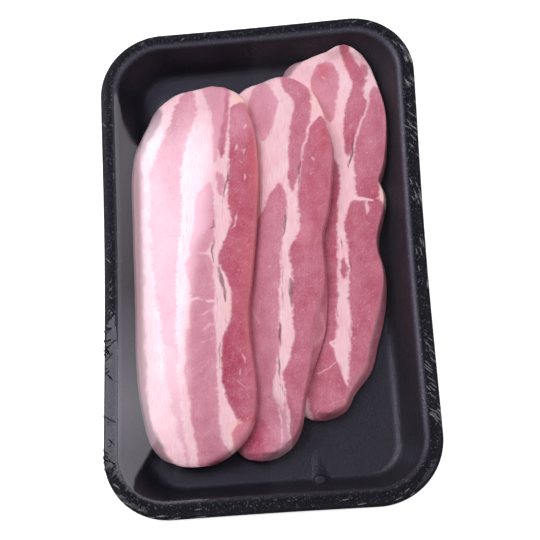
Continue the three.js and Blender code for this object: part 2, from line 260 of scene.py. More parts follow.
@dataclass(frozen=True)
class PackShape:
    """Form that the tray and the film share: a rounded rectangle with a sloping wall."""

    # Outline from above, and how far its sides and ends are drawn in at their middles.
    length: float = 220
    width: float = 140
    corner_radius: float = 28
    side_bow: float = 1.2
    end_bow: float = 0.4
    # Foam, and the rim that slopes from its crest down to a rounded lip.
    foam: float = 2.9
    wall_foam: float = 2.5
    depth: float = 16.7
    rim_width: float = 6.8
    rim_drop: float = 1.9
    lip_depth: float = 2.6
    lip_round: float = 1.3
    # How far the walls lean in from the crest to the floor, and the floor's corners.
    side_run: float = 10.8
    end_run: float = 7.8
    floor_corner_radius: float = 14.4
    # Bends, as shares of the wall that they take up.
    crest_bend: float = 0.2
    foot_bend: float = 0.14
    floor_bend: float = 0.2
    fillet_foot: float = 0.2
    fillet_floor: float = 0.3
    # Lean of the wall's outside at its foot and below the lip, as shares of the inside's.
    base_lean: float = 1.08
    tuck_lean: float = 0.1
    # Height of the underside, and how far in from the outline the lip lies.
    wrap: float = 0.7
    lip_wrap: float = -0.1
    # How finely the section is divided.
    crest_steps: int = 4
    bend_steps: int = 10
    lip_steps: int = 9
    rim_steps: int = 12

    @property
    def floor_z(self) -> float:
        """Height of the tray's floor."""
        return self.wrap + self.foam

    @property
    def crest_z(self) -> float:
        """Height of the rim's crest."""
        return self.floor_z + self.depth

    @property
    def lip_z(self) -> float:
        """Height of the rim's outer edge."""
        return self.crest_z - self.rim_drop

    def loop(self, point: ProfilePoint, steps: LoopSteps) -> np.ndarray:
        """Carries a profile point round the pack.

        Args:
            point: Point of the section.
            steps: How finely the loop is divided.

        Returns:
            One row of x, y and z for each point, counterclockwise from the right side's far end.
        """
        half_x = self.width / 2 - point.inset - self.side_run * point.lean
        half_y = self.length / 2 - point.inset - self.end_run * point.lean
        corner_change = self.floor_corner_radius - (self.corner_radius - self.rim_width)
        radius = self.corner_radius - point.inset + corner_change * point.lean
        rows = []
        for corner in range(4):
            centre_x = (half_x - radius) * (1 if corner in (0, 3) else -1)
            centre_y = (half_y - radius) * (1 if corner < 2 else -1)
            angle = (corner + np.linspace(0, 1, steps.arc + 1)) * math.pi / 2
            rows.append(np.stack([centre_x + radius * np.cos(angle), centre_y + radius * np.sin(angle)], 1))
            on_end = corner % 2 == 0
            count = steps.end if on_end else steps.side
            turned = 1 - 2 * np.arange(1, count) / count
            still = np.ones(count - 1)
            shares = (turned, still) if on_end else (still, turned)
            rows.append(np.stack(shares, 1) * rows[-1][-1])
        x, y = np.concatenate(rows).T
        drawn_x = x * (1 - self.side_bow * np.cos(math.pi * y / self.length) ** 2 / (self.width / 2))
        drawn_y = y * (1 - self.end_bow * np.cos(math.pi * x / self.width) ** 2 / (self.length / 2))
        return np.stack([drawn_x, drawn_y, np.full_like(x, point.z)], 1)

    def wall_point(self, share: float) -> ProfilePoint:
        """Gives a point of the wall's inside, by its share of the way down to the floor."""
        return ProfilePoint(self.rim_width, share, self.crest_z - share * self.depth)

    def outer_wall_point(self, share: float) -> ProfilePoint:
        """Gives a point of the wall's outside, by its share of the way up to the lip."""
        lean = self.base_lean + (self.tuck_lean - self.base_lean) * share
        rise = self.lip_z - self.lip_depth - self.wrap
        return ProfilePoint(self.rim_width - self.wall_foam, lean, self.wrap + rise * share)

    def bend(self, start: ProfilePoint, corner: ProfilePoint, end: ProfilePoint) -> list[ProfilePoint]:
        """Rounds the corner between two straight stretches of a profile.

        Args:
            start: Where the bend starts.
            corner: Where the straight stretches would meet.
            end: Where the bend ends.

        Returns:
            The bend's points, both ends among them.
        """
        points = []
        for t in np.linspace(0, 1, self.bend_steps + 1):
            weights = ((1 - t) ** 2, 2 * t * (1 - t), t ** 2)
            points.append(ProfilePoint(*np.average((start, corner, end), 0, weights)))
        return points

    def underside(self) -> list[ProfilePoint]:
        """Gives the bend between the underside and the outside of the wall."""
        under = ProfilePoint(self.rim_width - self.wall_foam, self.base_lean + self.floor_bend, self.wrap)
        return self.bend(under, self.outer_wall_point(0), self.outer_wall_point(self.foot_bend))

    def lip(self) -> list[ProfilePoint]:
        """Gives the rounded lip and the rim that rises from it to the crest."""
        points = []
        for angle in np.linspace(-math.pi / 2, math.pi / 4, self.lip_steps + 1):
            z = self.lip_z + self.lip_depth / 2 * (math.sin(angle) - 1)
            points.append(ProfilePoint(self.lip_wrap + self.lip_round * (1 - math.cos(angle)), 0, z))
        for share in np.linspace(0, 1, self.rim_steps + 1)[1:]:
            inset = self.lip_wrap + (self.rim_width - self.lip_wrap) * share
            points.append(ProfilePoint(inset, 0, self.crest_z - self.rim_drop * (1 - share) ** 2))
        return points


def skin_loops(loops: list[np.ndarray]) -> Mesh:
    """Skins a row of loops and closes both ends to their middles.

    Args:
        loops: Loops of the same number of points, each an array of x, y and z in millimetres.

    Returns:
        A closed mesh in metres.
    """
    count = len(loops[0])
    middles = [loops[0].mean(0), loops[-1].mean(0)]
    points = np.concatenate([*loops, middles]) * MM
    faces = []
    for band in range(len(loops) - 1):
        low, high = band * count, (band + 1) * count
        faces += [(low + i, low + (i + 1) % count, high + (i + 1) % count, high + i) for i in range(count)]
    first, last = len(loops) * count, (len(loops) - 1) * count
    faces += [(first, (i + 1) % count, i) for i in range(count)]
    faces += [(first + 1, last + i, last + (i + 1) % count) for i in range(count)]
    mesh = bpy.data.meshes.new("skin")
    mesh.from_pydata(points.tolist(), [], faces)
    return mesh


def shrunk_loops(loop: np.ndarray, shares: tuple[float, ...]) -> list[np.ndarray]:
    """Gives smaller copies of a flat loop, drawn towards the middle of the pack.

    Args:
        loop: Loop to copy.
        shares: Sizes of the copies, as shares of the loop's own.

    Returns:
        The copies, in the order of the shares.
    """
    return [loop * [share, share, 1] for share in shares]


@dataclass(frozen=True)
class FoamFinish:
    """Black expanded polystyrene: moulded beads make a fine grey speckle and a satin, pebbled skin."""

    # Colours: foam, single beads with a painted glint on the rim, the painted highlight along the rim's inner
    # edge, and the gloss.
    dark: str = "#0D0D12"
    light: str = "#1C1B24"
    glint: str = "#7C7982"
    crest: str = "#393640"
    sheen: str = "#EBE4FF"
    # Sizes of the moulded beads, of the grain on them and of the beads that get a painted glint.
    bead: float = 0.9
    grain: float = 0.6
    dot: float = 0.45
    # Where in the noises dark turns to light, and how far a bead's painted glint covers the foam.
    grain_detail: float = 2
    grain_range: tuple[float, float] = (0.42, 0.72)
    dot_range: tuple[float, float] = (0.77, 0.98)
    dot_share: float = 0.45
    # Gloss, how far the film on the rim dulls it, and how high the beads stand.
    ior: float = 1.5
    roughness: float = 0.42
    gloss: float = 0.5
    rim_dulling: float = 0.5
    bump: float = 0.11
    bump_strength: float = 0.8

    def material(self) -> Material:
        """Builds the material."""
        material, tree = new_material("expanded_polystyrene_black")
        place = add_node(tree, "ShaderNodeTexCoord").outputs["Object"]
        beads = add_node(tree, "ShaderNodeTexVoronoi", {"Vector": place, "Scale": PER_METRE / self.bead})
        grains = {"Vector": place, "Scale": PER_METRE / self.grain, "Detail": self.grain_detail}
        grain = add_node(tree, "ShaderNodeTexNoise", grains).outputs["Fac"]
        low, high = self.grain_range
        speckle = add_node(tree, "ShaderNodeMapRange", {"Value": grain, "From Min": low, "From Max": high})
        on_rim = add_node(tree, "ShaderNodeAttribute", attribute_name="rim").outputs["Fac"]
        on_crest = add_node(tree, "ShaderNodeAttribute", attribute_name="crest").outputs["Fac"]
        dots = add_node(tree, "ShaderNodeTexVoronoi", {"Vector": place, "Scale": PER_METRE / self.dot})
        low, high = self.dot_range
        lit = {"Value": dots.outputs["Color"], "From Min": low, "From Max": high, "To Max": self.dot_share}
        lit_dots = add_node(tree, "ShaderNodeMapRange", lit)
        rim_dots = add_node(tree, "ShaderNodeMath", {0: lit_dots.outputs[0], 1: on_rim}, operation="MULTIPLY")
        # The rim gets painted glints on single beads and a painted highlight band along its inner edge.
        layers = ((speckle.outputs[0], self.light), (on_crest, self.crest), (rim_dots.outputs[0], self.glint))
        domes = add_node(
            tree, "ShaderNodeMath", {0: beads.outputs["Distance"], 1: grain}, operation="SUBTRACT"
        ).outputs[0]
        pebbles = {"Height": domes, "Strength": self.bump_strength, "Distance": self.bump * MM}
        bump = add_node(tree, "ShaderNodeBump", pebbles, invert=True)
        # The film clings to the rim and dulls it, but stands clear of its inner edge.
        covered = add_node(tree, "ShaderNodeMath", {0: on_rim, 1: on_crest}, operation="SUBTRACT").outputs[0]
        dulling = {0: covered, 1: -self.rim_dulling, 2: self.gloss}
        gloss = add_node(tree, "ShaderNodeMath", dulling, operation="MULTIPLY_ADD").outputs[0]
        looks = {
            "Base Color": layered(tree, linear(self.dark), layers),
            "Specular IOR Level": gloss,
            "Roughness": self.roughness,
            "IOR": self.ior,
            "Specular Tint": linear(self.sheen),
            "Normal": bump.outputs[0],
        }
        shader = add_node(tree, "ShaderNodeBsdfPrincipled", looks)
        add_node(tree, "ShaderNodeOutputMaterial", {"Surface": shader.outputs[0]})
        return material


@dataclass(frozen=True)
class FoamTray:
    """Shallow foam tray with a rolled rim and one low lug at the foot of its near wall."""

    shape: PackShape
    finish: FoamFinish
    steps: LoopSteps = LoopSteps(arc=24, side=48, end=26)
    # Lug: radii at its foot and top, how oval it is, and how far it stands from the wall's foot.
    lug_radius: float = 3.7
    lug_top_radius: float = 2.4
    lug_oval: float = 0.85
    lug_height: float = 2.8
    lug_round: float = 0.9
    lug_x: float = 18.3
    lug_clear: float = 0.4
    lug_sides: int = 48
    lug_steps: int = 6
    # Rim: how far below the crest its finish goes, how wide its painted inner-edge highlight is, and where
    # that fades.
    rim_fade: float = 4
    crest_width: float = 2.3
    near_highlight_fade: float = 0.65
    highlight_fade_from: float = 70
    highlight_fade_to: float = 98
    # Shares at which the walls, the underside and the floor are divided.
    outer_shares: tuple[float, ...] = (0.4, 0.7, 1)
    inner_shares: tuple[float, ...] = (0.3, 0.5, 0.7)
    under_shares: tuple[float, ...] = (0.25, 0.5, 0.75)
    floor_shares: tuple[float, ...] = (0.88, 0.75, 0.5, 0.25)

    def profile(self) -> list[ProfilePoint]:
        """Gives the section from the underside over the rim to the floor."""
        shape = self.shape
        *rim, crest = shape.lip()
        rim = rim[:1 - shape.crest_steps]
        floor = ProfilePoint(shape.rim_width, 1 + shape.fillet_floor, shape.floor_z)
        return [
            *shape.underside(),
            *[shape.outer_wall_point(share) for share in self.outer_shares],
            *rim,
            *shape.bend(rim[-1], crest, shape.wall_point(shape.crest_bend))[1:],
            *[shape.wall_point(share) for share in self.inner_shares],
            *shape.bend(shape.wall_point(1 - shape.fillet_foot), shape.wall_point(1), floor),
        ]

    def lug(self) -> Mesh:
        """Makes the lug: a short oval stub with a rounded top, sunk into the floor."""
        shape = self.shape
        top = shape.floor_z + self.lug_height
        rings = [(self.lug_radius, shape.floor_z - shape.foam / 2), (self.lug_radius, shape.floor_z)]
        for angle in np.linspace(0, math.pi / 2, self.lug_steps):
            radius = self.lug_top_radius - self.lug_round * (1 - math.cos(angle))
            rings.append((radius, top - self.lug_round * (1 - math.sin(angle))))
        angles = np.arange(self.lug_sides) / self.lug_sides * 2 * math.pi
        oval = np.stack([np.cos(angles), self.lug_oval * np.sin(angles), np.zeros(self.lug_sides)], 1)
        middle_y = self.lug_clear - (shape.length / 2 - shape.rim_width - shape.end_run)
        return skin_loops([radius * oval + (self.lug_x, middle_y, z) for radius, z in rings])

    def build(self) -> Object:
        """Builds the tray, with its lug fused on."""
        material = self.finish.material()
        profile = self.profile()
        loops = [self.shape.loop(point, self.steps) for point in profile]
        under = shrunk_loops(loops[0], self.under_shares)
        floor = shrunk_loops(loops[-1], self.floor_shares)
        mesh = skin_loops([*under, *loops, *floor])
        points = read_points(mesh)
        upper = smooth(1 - (self.shape.crest_z - points[:, 2]) / self.rim_fade)
        # Painted highlight along the rim's inner edge: a band across the section that fades towards the near
        # end.
        highlight_faded = smooth((-points[:, 1] - self.highlight_fade_from) / (self.highlight_fade_to - self.highlight_fade_from))
        inward = np.array([point.inset + self.shape.side_run * point.lean for point in profile])
        band = np.exp(-(2 * (inward - self.shape.rim_width) / self.crest_width) ** 2)
        row_bands = np.concatenate([np.zeros(len(under)), band, np.zeros(len(floor))])
        highlight_band = np.append(np.repeat(row_bands, self.steps.count), (0, 0))
        store_values(mesh, "rim", upper)
        store_values(mesh, "crest", (1 - self.near_highlight_fade * highlight_faded) * upper * highlight_band)
        piece = make_object("foam_tray", mesh, material)
        lug = make_object("foam_lug", self.lug(), material)
        union = piece.modifiers.new("lug", "BOOLEAN")
        union.operation = "UNION"
        union.solver = "EXACT"
        union.object = lug
        work_in_modifiers(piece)
        bpy.data.objects.remove(lug)
        register(piece, Slot.FOAM, "tray")
        return piece


class Tissue(Enum):
    """Kinds of tissue that show on a slice besides plain fat."""

    LEAN = "lean"
    RIND = "rind"
    CREAM = "cream"
    GAP = "gap"
    FLECK = "fleck"


# What a slice keeps on its vertices: distances in from the edges of its tissues in millimetres, and shares.
SLICE_FIELDS = (
    "lean", "rind", "cream", "gap", "gap_share", "fleck", "fleck_share", "tone", "fringe", "warm", "membrane_and_glow"
)
FAR_OUTSIDE = -9.0  # distance of places that a tissue isn't near
EDGE_STEPS = (-2.4, -1.2, 0, 1.2, 2.4)  # an edge is averaged over these steps, which rounds its bends


@dataclass(frozen=True)
class Strip:
    """A band of one tissue that runs along a slice and right through it.

    Attributes:
        tissue: What it is.
        stations: Place along the slice, left edge and right edge, from the far end to the near end.
        tone: How deep its colour is at its far end and at its near end, from 0 to 1.
        fringe: How much further than elsewhere its edges fray.
        end_round: Radius of the corners at its ends.
    """

    tissue: Tissue
    stations: tuple[tuple[float, float, float], ...]
    tone: tuple[float, float] = (1, 1)
    fringe: float = 0
    end_round: float = 2.5

    def inside(self, x: np.ndarray, y: np.ndarray) -> np.ndarray:
        """Gives the distance in from the strip's edge, below zero outside it.

        Args:
            x: Places across the tray.
            y: Places along it.

        Returns:
            One distance for each place.
        """
        along, left, right = np.array(self.stations[::-1], float).T
        left_edge = np.mean([np.interp(y + step, along, left) for step in EDGE_STEPS], 0)
        right_edge = np.mean([np.interp(y + step, along, right) for step in EDGE_STEPS], 0)
        across = np.minimum(x - left_edge, right_edge - x)
        endwise = np.minimum(y - along[0], along[-1] - y)
        in_corner = (across < self.end_round) & (endwise < self.end_round)
        rounded = self.end_round - np.hypot(self.end_round - across, self.end_round - endwise)
        return np.where(in_corner, rounded, np.minimum(across, endwise))

    def tone_at(self, y: np.ndarray) -> np.ndarray:
        """Gives the depth of colour at places along the strip."""
        far, near = self.stations[0][0], self.stations[-1][0]
        share = np.clip((far - y) / (far - near), 0, 1)
        return self.tone[0] + (self.tone[1] - self.tone[0]) * share


@dataclass(frozen=True)
class Stroke:
    """A thin line on a slice: a dark gap between muscles, partly darkened with painted shade in the slit, or
    a pale fleck of fat.

    Attributes:
        tissue: What it is.
        points: Places that it runs through.
        width: Its width.
        strength: How far it covers what it lies on.
        end_width: Share of the width that is left at its ends.
    """

    tissue: Tissue
    points: tuple[tuple[float, float], ...]
    width: float
    strength: float = 1
    end_width: float = 0.2

    def inside(self, x: np.ndarray, y: np.ndarray) -> np.ndarray:
        """Gives the distance in from the line's edge, below zero outside it.

        Args:
            x: Places across the tray.
            y: Places along it.

        Returns:
            One distance for each place.
        """
        nearest = np.full_like(x, np.inf)
        way = np.zeros_like(x)
        passed = 0.0
        for (x0, y0), (x1, y1) in zip(self.points, self.points[1:]):
            dx, dy = x1 - x0, y1 - y0
            t = np.clip(((x - x0) * dx + (y - y0) * dy) / (dx * dx + dy * dy), 0, 1)
            distance = np.hypot(x - x0 - t * dx, y - y0 - t * dy)
            way = np.where(distance < nearest, passed + t * math.hypot(dx, dy), way)
            nearest = np.minimum(nearest, distance)
            passed += math.hypot(dx, dy)
        taper = self.end_width + (1 - self.end_width) * np.sin(way / passed * math.pi)
        return self.width / 2 * taper - nearest


@dataclass(frozen=True)
class Patch:
    """A soft-edged area where the lean differs from the lean round it.

    Attributes:
        x: Its middle, across the tray.
        y: Its middle, along the tray.
        half_width: Half its width.
        half_length: Half its length.
        tone: How much deeper the lean is there.
        warm: How much warmer it is.
        fullness: How fast it comes to the full from its edge inwards.
    """

    x: float
    y: float
    half_width: float
    half_length: float
    tone: float = 0
    warm: float = 0
    fullness: float = 1.3

    def share(self, x: np.ndarray, y: np.ndarray) -> np.ndarray:
        """Gives how far the patch covers places, from 0 at its edge to 1 in its middle."""
        away = np.hypot((x - self.x) / self.half_width, (y - self.y) / self.half_length)
        return smooth(self.fullness * (1 - away))


@dataclass(frozen=True)
class Nudge:
    """A small pull on the upper edge of a slice.

    Attributes:
        x: Its middle, across the tray.
        y: Its middle, along the tray.
        reach: How far from there it fades out.
        pull: How far the edge moves across the tray and along it.
    """

    x: float
    y: float
    reach: float
    pull: tuple[float, float]


@dataclass(frozen=True)
class Pattern:
    """A noise in the flesh.

    Attributes:
        size: Length of its features across the tray, along it and upright.
        detail: How many finer sizes are laid over it.
        turn: How far it is turned on the slice, in degrees.
        twist: How far its features are bent.
    """

    size: tuple[float, float, float]
    detail: float = 1
    turn: float = 0
    twist: float = 0


@dataclass(frozen=True)
class BellyFinish:
    """Raw pork belly: pale pink fat, moist lean that deepens to rose red, thin marbling and brownish rind."""

    # Colours of the tissues.
    fat: str = "#FBD7DC"
    fat_warm: str = "#F0BCC7"
    cream: str = "#F5CCC1"
    lean_pale: str = "#E3A2B4"
    lean_deep: str = "#B0405D"
    lean_warm: str = "#D0626F"
    rind: str = "#A3828A"
    # Gaps between muscles: their own darker tissue, with painted shade in the slit.
    gap: str = "#743C49"
    fleck: str = "#F6CFD6"
    # Pale membrane, with painted light glowing through the right-hand edges.
    membrane_and_glow: str = "#EFB0B4"
    # Noises. Real fibres and threads are about 0.1 mm thick: they are drawn coarser, to show at all.
    ragged: Pattern = Pattern((2.6, 2.6, 2.6))
    fray: Pattern = Pattern((2.2, 1.4, 2.2), detail=2)
    fibre: Pattern = Pattern((0.55, 4.5, 0.55), detail=2)
    mottle: Pattern = Pattern((7, 7, 7), detail=3)
    thread: Pattern = Pattern((2.6, 0.55, 2), detail=2, turn=40, twist=1.6)
    grain: Pattern = Pattern((0.5, 0.5, 0.5))
    speck_glint: Pattern = Pattern((0.8, 0.9, 0.8))
    # How far edges drift, gaps break up and edges fray, in millimetres.
    drift: float = 1.1
    breaking: float = 1.5
    fraying: float = 1.6
    # Distances in from a tissue's edge between which it comes to the full.
    lean_edge: tuple[float, float] = (-0.8, 0.8)
    cream_edge: tuple[float, float] = (-3.0, 4.0)
    rind_edge: tuple[float, float] = (-0.9, 1.1)
    gap_edge: tuple[float, float] = (-0.35, 0.5)
    fleck_edge: tuple[float, float] = (-0.4, 0.5)
    # How much the tone of a strip, and mottling, fibres and grain, count for the depth of the red.
    tone_weight: float = 0.8
    noise_weights: tuple[float, float, float] = (0.65, 0.3, 0.5)
    # Where in their noises threads, painted moisture glints and streaks come to the full, and how far they
    # cover the flesh.
    thread_range: tuple[float, float] = (0.55, 0.72)
    thread_share: float = 0.42
    patchy_range: tuple[float, float] = (0.35, 0.65)
    speck_glint_range: tuple[float, float] = (0.66, 0.78)
    speck_glint_share: float = 0.22
    streak_range: tuple[float, float] = (0.6, 1.16)
    streak_mottle: float = 0.7
    # Moist surface: gloss that follows the mottling, fine fibres, and light that spreads below it.
    ior: float = 1.4
    roughness: tuple[float, float] = (0.34, 0.5)
    bump: float = 0.2
    bump_strength: float = 0.25
    scatter: float = 0.35
    scatter_spread: tuple[float, float, float] = (1.0, 0.45, 0.35)
    scatter_depth: float = 1.5

    def add_noise(self, tree: NodeTree, place: NodeSocket, pattern: Pattern) -> NodeSocket:
        """Adds one of the noises.

        Args:
            tree: Tree that gets the nodes.
            place: Where on the slice it is read.
            pattern: What it looks like.

        Returns:
            Its value, from 0 to 1.
        """
        turn = (0, 0, math.radians(pattern.turn))
        placing = {"Vector": place, "Rotation": turn, "Scale": [length * MM for length in pattern.size]}
        sized = add_node(tree, "ShaderNodeMapping", placing, vector_type="TEXTURE").outputs[0]
        settings = {"Vector": sized, "Scale": 1.0, "Detail": pattern.detail, "Distortion": pattern.twist}
        return add_node(tree, "ShaderNodeTexNoise", settings).outputs["Fac"]

    def tissue_shares(
        self, tree: NodeTree, value: dict[str, NodeSocket], noises: tuple[NodeSocket, NodeSocket, NodeSocket]
    ) -> dict[str, NodeSocket]:
        """Works out how far each tissue covers the fat, with uneven edges.

        Args:
            tree: Tree that gets the nodes.
            value: What the slice keeps on its vertices.
            noises: Noises that edges drift by, gaps break up by and edges fray by.

        Returns:
            A share for each tissue, by its name.
        """
        drift, broken, frayed = [
            add_node(
                tree, "ShaderNodeMath", {0: source, 1: reach, 2: -reach / 2}, operation="MULTIPLY_ADD"
            ).outputs[0]
            for source, reach in zip(noises, (self.drift, self.breaking, self.fraying))
        ]
        frayed = add_node(
            tree, "ShaderNodeMath", {0: frayed, 1: value["fringe"], 2: frayed}, operation="MULTIPLY_ADD"
        ).outputs[0]
        wander = add_node(tree, "ShaderNodeMath", {0: drift, 1: frayed}, operation="ADD").outputs[0]
        share = {}
        for name, uneven, (low, high) in (
            ("lean", wander, self.lean_edge),
            ("cream", drift, self.cream_edge),
            ("rind", drift, self.rind_edge),
            ("gap", broken, self.gap_edge),
            ("fleck", drift, self.fleck_edge),
        ):
            edge = add_node(tree, "ShaderNodeMath", {0: value[name], 1: uneven}, operation="ADD").outputs[0]
            span = {"Value": edge, "From Min": low, "From Max": high}
            eased = add_node(tree, "ShaderNodeMapRange", span, interpolation_type="SMOOTHSTEP")
            share[name] = eased.outputs[0]
        for name in ("gap", "fleck"):
            both = {0: share[name], 1: value[f"{name}_share"]}
            share[name] = add_node(tree, "ShaderNodeMath", both, operation="MULTIPLY").outputs[0]
        return share

    def material(self) -> Material:
        """Builds the material, which reads the tissues that a slice keeps on its vertices."""
        material, tree = new_material("raw_pork_belly")
        place = add_node(tree, "ShaderNodeTexCoord").outputs["Object"]
        patterns = (self.ragged, self.fray, self.fibre, self.mottle, self.thread, self.grain, self.speck_glint)
        ragged, fray, fibre, mottle, thread, grain, speck_glint = [
            self.add_noise(tree, place, pattern) for pattern in patterns
        ]
        value = {
            name: add_node(tree, "ShaderNodeAttribute", attribute_name=name).outputs["Fac"]
            for name in SLICE_FIELDS
        }
        share = self.tissue_shares(tree, value, (ragged, fibre, fray))

        # Broad mottling, fibres and fine grain shift the depth of the red.
        toned = {0: value["tone"], 1: self.tone_weight}
        depth = add_node(tree, "ShaderNodeMath", toned, operation="MULTIPLY").outputs[0]
        for source, weight in zip((mottle, fibre, grain), self.noise_weights):
            shifted = add_node(
                tree, "ShaderNodeMath", {0: source, 1: weight, 2: -weight / 2}, operation="MULTIPLY_ADD"
            ).outputs[0]
            depth = add_node(tree, "ShaderNodeMath", {0: depth, 1: shifted}, operation="ADD").outputs[0]

        # Threads of fat lie aslant between the fibres, in some places more, and the fat is streaky.
        streak = add_node(
            tree, "ShaderNodeMath", {0: mottle, 1: self.streak_mottle, 2: fibre}, operation="MULTIPLY_ADD"
        ).outputs[0]
        covers = []
        for source, (low, high), most in (
            (thread, self.thread_range, self.thread_share),
            (ragged, self.patchy_range, 1.0),
            (speck_glint, self.speck_glint_range, self.speck_glint_share),
            (streak, self.streak_range, 1.0),
        ):
            span = {"Value": source, "From Min": low, "From Max": high, "To Max": most}
            covers.append(add_node(tree, "ShaderNodeMapRange", span).outputs[0])
        threads, patchy, speck_glints, streaks = covers
        threads = add_node(tree, "ShaderNodeMath", {0: threads, 1: patchy}, operation="MULTIPLY").outputs[0]

        fat_layers = ((streaks, self.fat_warm), (share["cream"], self.cream))
        lean_layers = (
            (depth, self.lean_deep),
            (value["warm"], self.lean_warm),
            (threads, self.fleck),
            # Pale specks on the lean: painted glints of moisture, in the colour of fat flecks.
            (speck_glints, self.fleck),
            (share["fleck"], self.fleck),
        )
        # Over all lie the rind, the gaps with their painted shade, and the pale membrane with its painted
        # edge glow.
        skins = ((share["rind"], self.rind), (share["gap"], self.gap), (value["membrane_and_glow"], self.membrane_and_glow))
        fat = layered(tree, linear(self.fat), fat_layers)
        lean = layered(tree, linear(self.lean_pale), lean_layers)
        parts = {MIX_FACTOR: share["lean"], MIX_FIRST: fat, MIX_SECOND: lean}
        marbled = add_node(tree, "ShaderNodeMix", parts, data_type="RGBA").outputs[MIX_RESULT]
        flesh = layered(tree, marbled, skins)

        low, high = self.patchy_range
        smoothest, roughest = self.roughness
        moist = {"Value": mottle, "From Min": low, "From Max": high, "To Min": smoothest, "To Max": roughest}
        fibres = {"Height": fibre, "Strength": self.bump_strength, "Distance": self.bump * MM}
        looks = {
            "Base Color": flesh,
            "Roughness": add_node(tree, "ShaderNodeMapRange", moist).outputs[0],
            "IOR": self.ior,
            "Subsurface Weight": self.scatter,
            "Subsurface Radius": self.scatter_spread,
            "Subsurface Scale": self.scatter_depth * MM,
            "Normal": add_node(tree, "ShaderNodeBump", fibres).outputs[0],
        }
        shader = add_node(tree, "ShaderNodeBsdfPrincipled", looks)
        add_node(tree, "ShaderNodeOutputMaterial", {"Surface": shader.outputs[0]})
        return material


